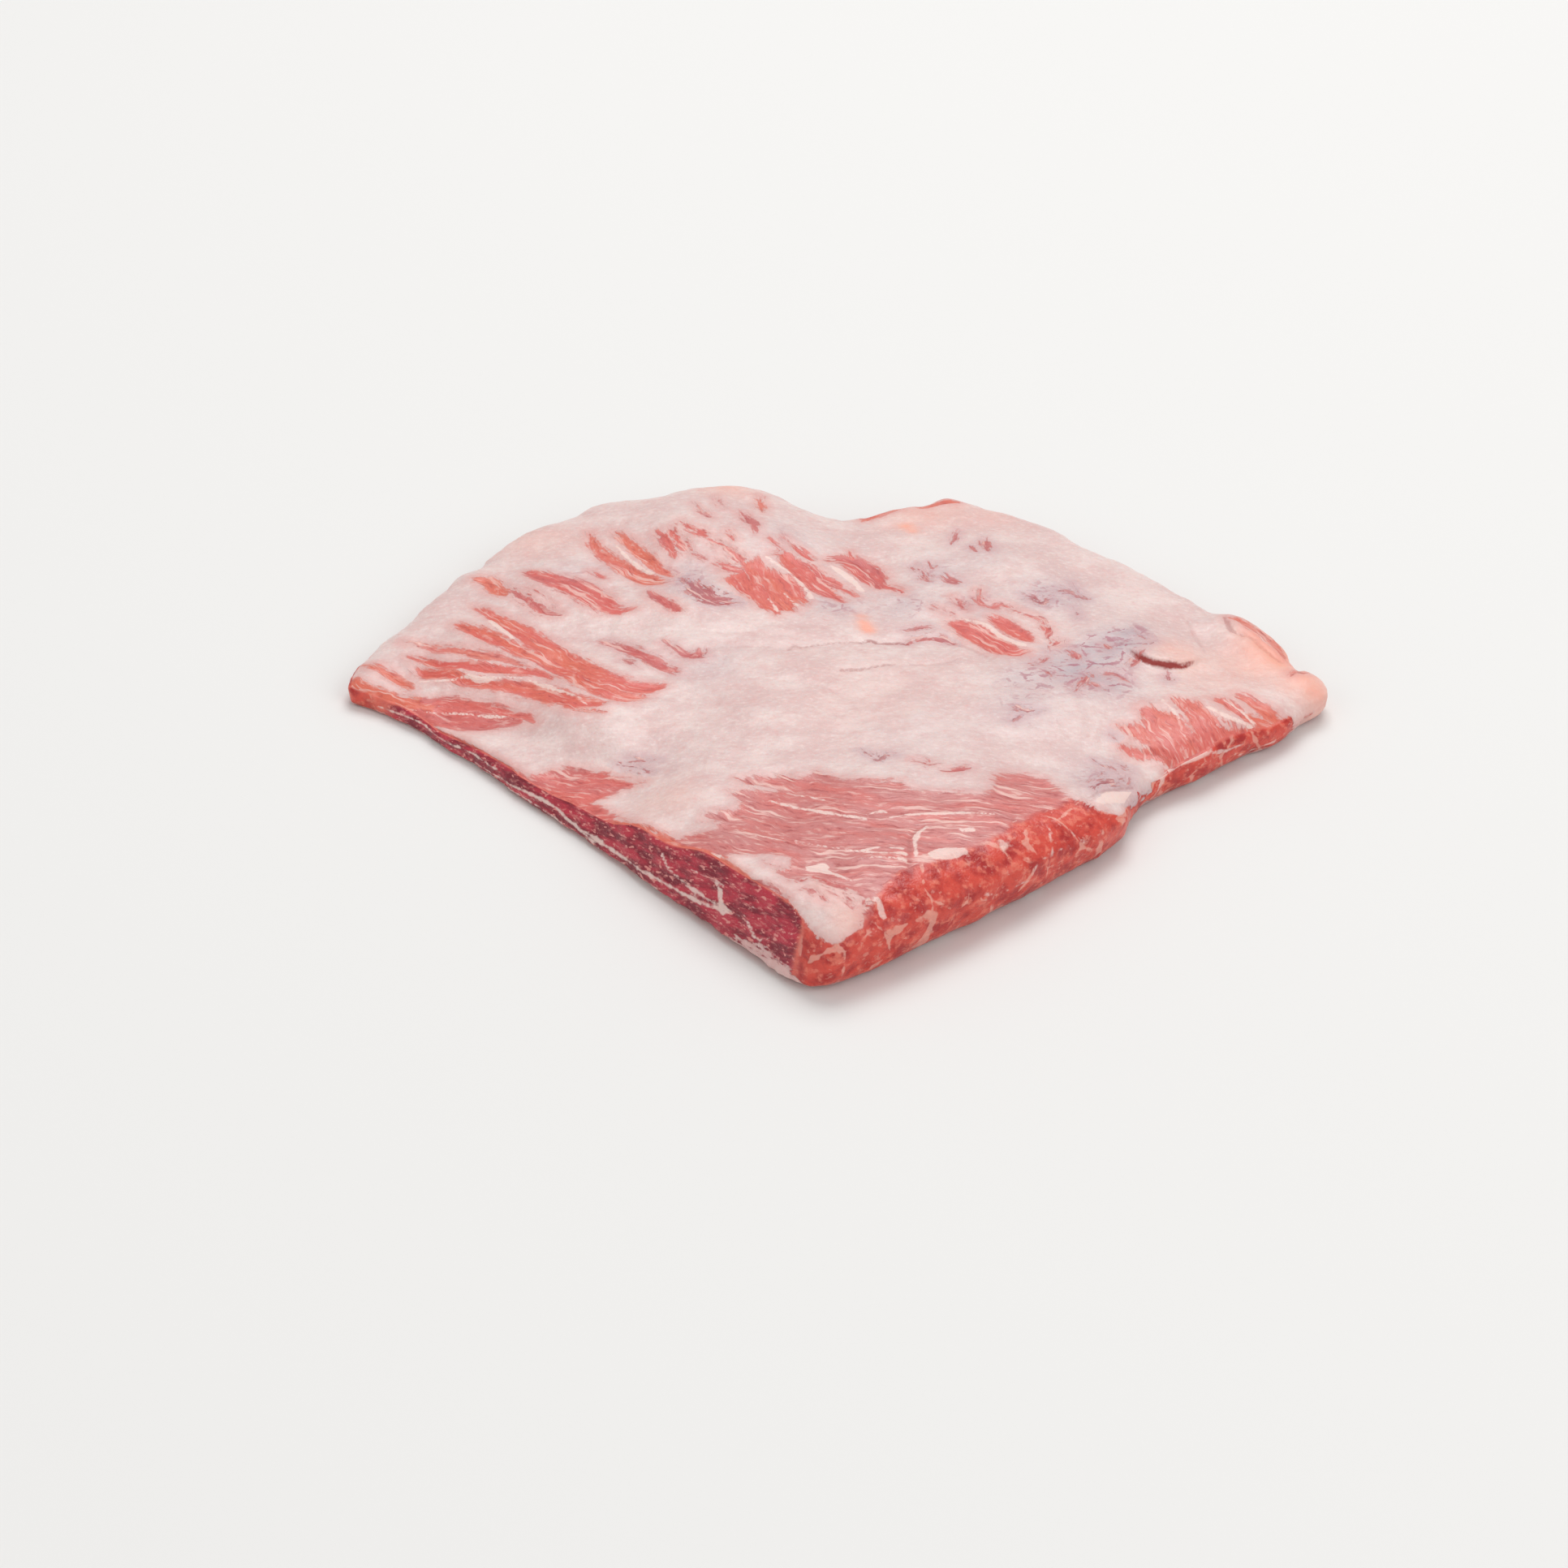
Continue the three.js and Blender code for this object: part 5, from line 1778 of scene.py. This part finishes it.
@dataclass(frozen=True)
class RawPork:
    """The material of the whole slab: fat and the three kinds of muscle, parted by the fields.

    Attributes:
        fat: The fat cover.
        surface: Muscle on the top.
        cut: Muscle on the knife-cut face.
        side: Muscle on the soft sides.
        seam: Colour of the white seams.
        shadow: Painted shade in the creases, in dark red.
        torn: How far fibres break up the muscle's edge, in millimetres.
        torn_grain: The pattern that does it, along the fibres.
        crumbs: How far fine crumbs of fat break it up, in millimetres.
        crumb_grain: Their pattern.
        fleck: How far flecks of fat reach into a mottled window, in millimetres.
        fleck_grain: Their pattern.
        ragged, uneven: Grains that break the seams' edges.
        crease_shade_grain: The grain that breaks the edges of the painted shade in the creases.
        glow: Share of light that passes under the surface.
        wet: Share of the thin wet coat.
    """

    fat: FatCover = FatCover()
    surface: SurfaceLean = SurfaceLean()
    cut: CutLean = CutLean()
    side: SideLean = SideLean()
    seam: str = "efd2c9"
    shadow: Tint = Tint("97332e", 0.25, 1.0)
    torn: float = 5.0
    torn_grain: Grain = Grain((6.0, 1.0, 1.0), 4.0, 31.0)
    crumbs: float = 1.8
    crumb_grain: Grain = Grain((1.6, 1.6, 1.6), 2.0, 33.0)
    fleck: float = 16.0
    fleck_grain: Grain = Grain((3.5, 1.6, 1.0), 2.0, 35.0)
    ragged: Grain = Grain((1.8, 1.8, 1.8), 3.0, 41.0)
    uneven: Grain = Grain((6.0, 6.0, 6.0), 1.0, 45.0)
    crease_shade_grain: Grain = Grain((1.4, 1.4, 1.4), 3.0, 43.0)
    glow: float = 0.16
    wet: float = 0.16

    def build(self) -> bpy.types.Material:
        """Makes the material.

        Returns:
            The material.
        """
        made = bpy.data.materials.new("raw_pork")
        made.use_nodes = True
        made.node_tree.nodes.clear()
        canvas = Canvas(made.node_tree)
        fat = self.fat.paint(canvas)
        look = self.seamed(canvas, self.opened(canvas, fat))
        # Painted shade: the creases are darkened in dark red, by each crease's dark value, with a broken
        # edge.
        crease_shade_grain = self.crease_shade_grain.draw(canvas, canvas.place)
        deep = canvas.total(canvas.fields["crease"], (crease_shade_grain, 1.1))
        colour = self.shadow.lay(canvas, look.colour, deep, canvas.fields["dark"])
        bump = canvas.add("ShaderNodeBump", inputs={"Height": look.height, "Strength": 1.0, "Distance": MM})
        # Light goes a millimetre or two into raw meat and comes out redder. Its juice is the clear coat.
        skin = canvas.add("ShaderNodeBsdfPrincipled", inputs={
            "Base Color": colour, "Roughness": look.rough, "Normal": bump, "IOR": 1.42,
            "Subsurface Weight": self.glow, "Subsurface Radius": (1.0, 0.35, 0.25),
            "Subsurface Scale": 1.8 * MM, "Coat Weight": self.wet, "Coat Roughness": 0.28,
        })
        canvas.add("ShaderNodeOutputMaterial", inputs={"Surface": skin})
        return made

    def opened(self, canvas: Canvas, fat: Look) -> Look:
        """Opens the fat over the three kinds of muscle.

        Args:
            canvas: The material's canvas.
            fat: The fat's look.

        Returns:
            The look of both.
        """
        look = self.surface.paint(canvas)
        for zone, finish in ((Zone.CUT, self.cut), (Zone.SIDE, self.side)):
            inputs = {"Value": canvas.fields[zone.value], "From Min": 0.15, "From Max": 0.75}
            share = canvas.add("ShaderNodeMapRange", SMOOTH, inputs)
            look = look.covered(canvas, finish.paint(canvas), share)
        inside = self.inside(canvas)
        bare = canvas.add("ShaderNodeMapRange", SMOOTH, {"Value": inside, "From Min": -0.45, "From Max": 0.5})
        sunk = canvas.add("ShaderNodeMapRange", SMOOTH, {"Value": inside, "From Min": -1.3, "From Max": 1.3})
        return fat.covered(canvas, look, bare, sunk)

    def inside(self, canvas: Canvas) -> bpy.types.Node:
        """How far inside the muscle a point is, with an edge torn along the fibres.

        Args:
            canvas: The material's canvas.

        Returns:
            Millimetres inside the edge.
        """
        fields = canvas.fields
        torn = self.torn_grain.draw(canvas, canvas.fibre)
        crumbs = self.crumb_grain.draw(canvas, canvas.place)
        spots = canvas.total(-0.42, (self.fleck_grain.draw(canvas, canvas.fibre), 1.0))
        flecks = canvas.add("ShaderNodeMath", TIMES, {0: spots, 1: fields["mottle"]})
        edge = canvas.total(fields["lean"], (torn, self.torn), (crumbs, self.crumbs), (flecks, -self.fleck))
        return canvas.total(-(self.torn + self.crumbs) / 2, (edge, 1.0))

    def seamed(self, canvas: Canvas, look: Look) -> Look:
        """Lays the white seams of fat over the muscle, with a broken edge.

        Args:
            canvas: The material's canvas.
            look: The look of muscle and fat.

        Returns:
            The look with the seams.
        """
        fields = canvas.fields
        ragged = self.ragged.draw(canvas, canvas.place)
        uneven = self.uneven.draw(canvas, canvas.place)
        edge = canvas.total(
            fields["vein"], (ragged, 1.2), (uneven, 1.2), (fields["cut"], -0.25), (fields["side"], -0.2)
        )
        seam = canvas.add("ShaderNodeMapRange", SMOOTH, {"Value": edge, "From Min": 1.15, "From Max": 1.65})
        dense = canvas.total(0.85, (fields["side"], -0.25))
        shown = canvas.add("ShaderNodeMath", TIMES, {0: seam, 1: dense})
        colours = {"Factor": shown, "A": look.colour, "B": linear(self.seam)}
        rough = canvas.add("ShaderNodeMix", NUMBERS, {"Factor": seam, "A": look.rough, "B": self.fat.rough})
        return Look(canvas.add("ShaderNodeMix", COLOURS, colours), rough, look.height)


# ---------------------------------------------------------------- studio


@dataclass(frozen=True)
class Lamp:
    """A soft square light that shines at the slab.

    Attributes:
        name: What it is.
        stands: Where it stands, in metres.
        size: Length of its side, in metres.
        power: Its power, in watts.
        colour: Its colour.
    """

    name: str
    stands: tuple[float, float, float]
    size: float
    power: float
    colour: str = "ffffff"

    def place(self) -> bpy.types.Object:
        """Places the light, facing the slab.

        Returns:
            The light's object.
        """
        data = bpy.data.lights.new(self.name, "AREA")
        data.shape = "SQUARE"
        data.size = self.size
        data.energy = self.power
        data.color = linear(self.colour)[:3]
        lamp = bpy.data.objects.new(self.name, data)
        lamp.location = self.stands
        lamp.rotation_euler = (-Vector(self.stands)).to_track_quat("-Z", "Y").to_euler()
        bpy.context.scene.collection.objects.link(lamp)
        return lamp


@dataclass(frozen=True)
class Studio:
    """A pale floor, soft lights and the camera of the main view.

    Attributes:
        floor: Colour of the floor.
        reach: Length of its side, in metres.
        drop: How far it lies under the slab, in metres, so that the two don't flicker.
        sky: Colour of the even light.
        glow: Strength of the even light.
        lamps: The soft lights.
        aim: Where the camera looks, in millimetres.
        height: How high it looks from, in degrees.
        away: Its distance, in millimetres.
        lens: Its focal length, in millimetres on a sensor 36 mm wide.
    """

    floor: str = "e8e7e5"
    reach: float = 6.0
    drop: float = 0.0002
    sky: str = "ffffff"
    glow: float = 0.5
    lamps: tuple[Lamp, ...] = (
        Lamp("key", (0.2, 1.1, 1.9), 1.3, 26.0),
        Lamp("right_fill", (1.1, -1.0, 1.0), 1.2, 8.5),
        Lamp("left_fill", (-1.2, -1.0, 0.8), 1.2, 4.4),
    )
    aim: tuple[float, float, float] = (-14.2, -22.8, 0.0)
    height: float = 32.5
    away: float = 1057.0
    lens: float = 93.17

    def build(self) -> None:
        """Makes the floor, the lights, the even light and the camera."""
        self.ground()
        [lamp.place() for lamp in self.lamps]
        world = bpy.data.worlds.new("even_light")
        world.use_nodes = True
        sky = world.node_tree.nodes["Background"]
        sky.inputs["Color"].default_value = linear(self.sky)
        sky.inputs["Strength"].default_value = self.glow
        bpy.context.scene.world = world
        self.camera()

    def ground(self) -> bpy.types.Object:
        """Lays the floor, a sheet of matt paper.

        Returns:
            The floor's object.
        """
        mesh = bpy.data.meshes.new("floor")
        shape = bmesh.new()
        bmesh.ops.create_grid(shape, x_segments=1, y_segments=1, size=self.reach / 2)
        bmesh.ops.translate(shape, verts=shape.verts, vec=(0.0, 0.0, -self.drop))
        shape.to_mesh(mesh)
        shape.free()
        paper = bpy.data.materials.new("matt_paper")
        paper.use_nodes = True
        skin = paper.node_tree.nodes["Principled BSDF"]
        skin.inputs["Base Color"].default_value = linear(self.floor)
        skin.inputs["Roughness"].default_value = 0.9
        mesh.materials.append(paper)
        floor = bpy.data.objects.new("floor", mesh)
        bpy.context.scene.collection.objects.link(floor)
        return floor

    def camera(self) -> None:
        """Places the camera of the main view."""
        data = bpy.data.cameras.new("main_view")
        data.sensor_width = 36.0
        data.lens = self.lens
        data.clip_start, data.clip_end = 0.01, 20.0
        eye = bpy.data.objects.new("main_view", data)
        up = math.radians(self.height)
        back = Vector((0.0, -math.cos(up), math.sin(up)))
        eye.location = (Vector(self.aim) + back * self.away) * MM
        eye.rotation_euler = (math.radians(90.0) - up, 0.0, 0.0)
        bpy.context.scene.collection.objects.link(eye)
        bpy.context.scene.camera = eye


def main() -> None:
    """Builds the slab and the studio and reports each."""
    logging.basicConfig(level=logging.INFO, format="%(message)s")
    slab = Slab().build()
    slab.data.materials.append(RawPork().build())
    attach(slab, "root")
    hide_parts(NODE)
    LOG.info("slab: %d faces", len(slab.data.polygons))
    Studio().build()
    LOG.info("studio: floor, lights and camera")
    bpy.context.scene.view_settings.view_transform = "Standard"


if __name__ == "__main__":
    main()
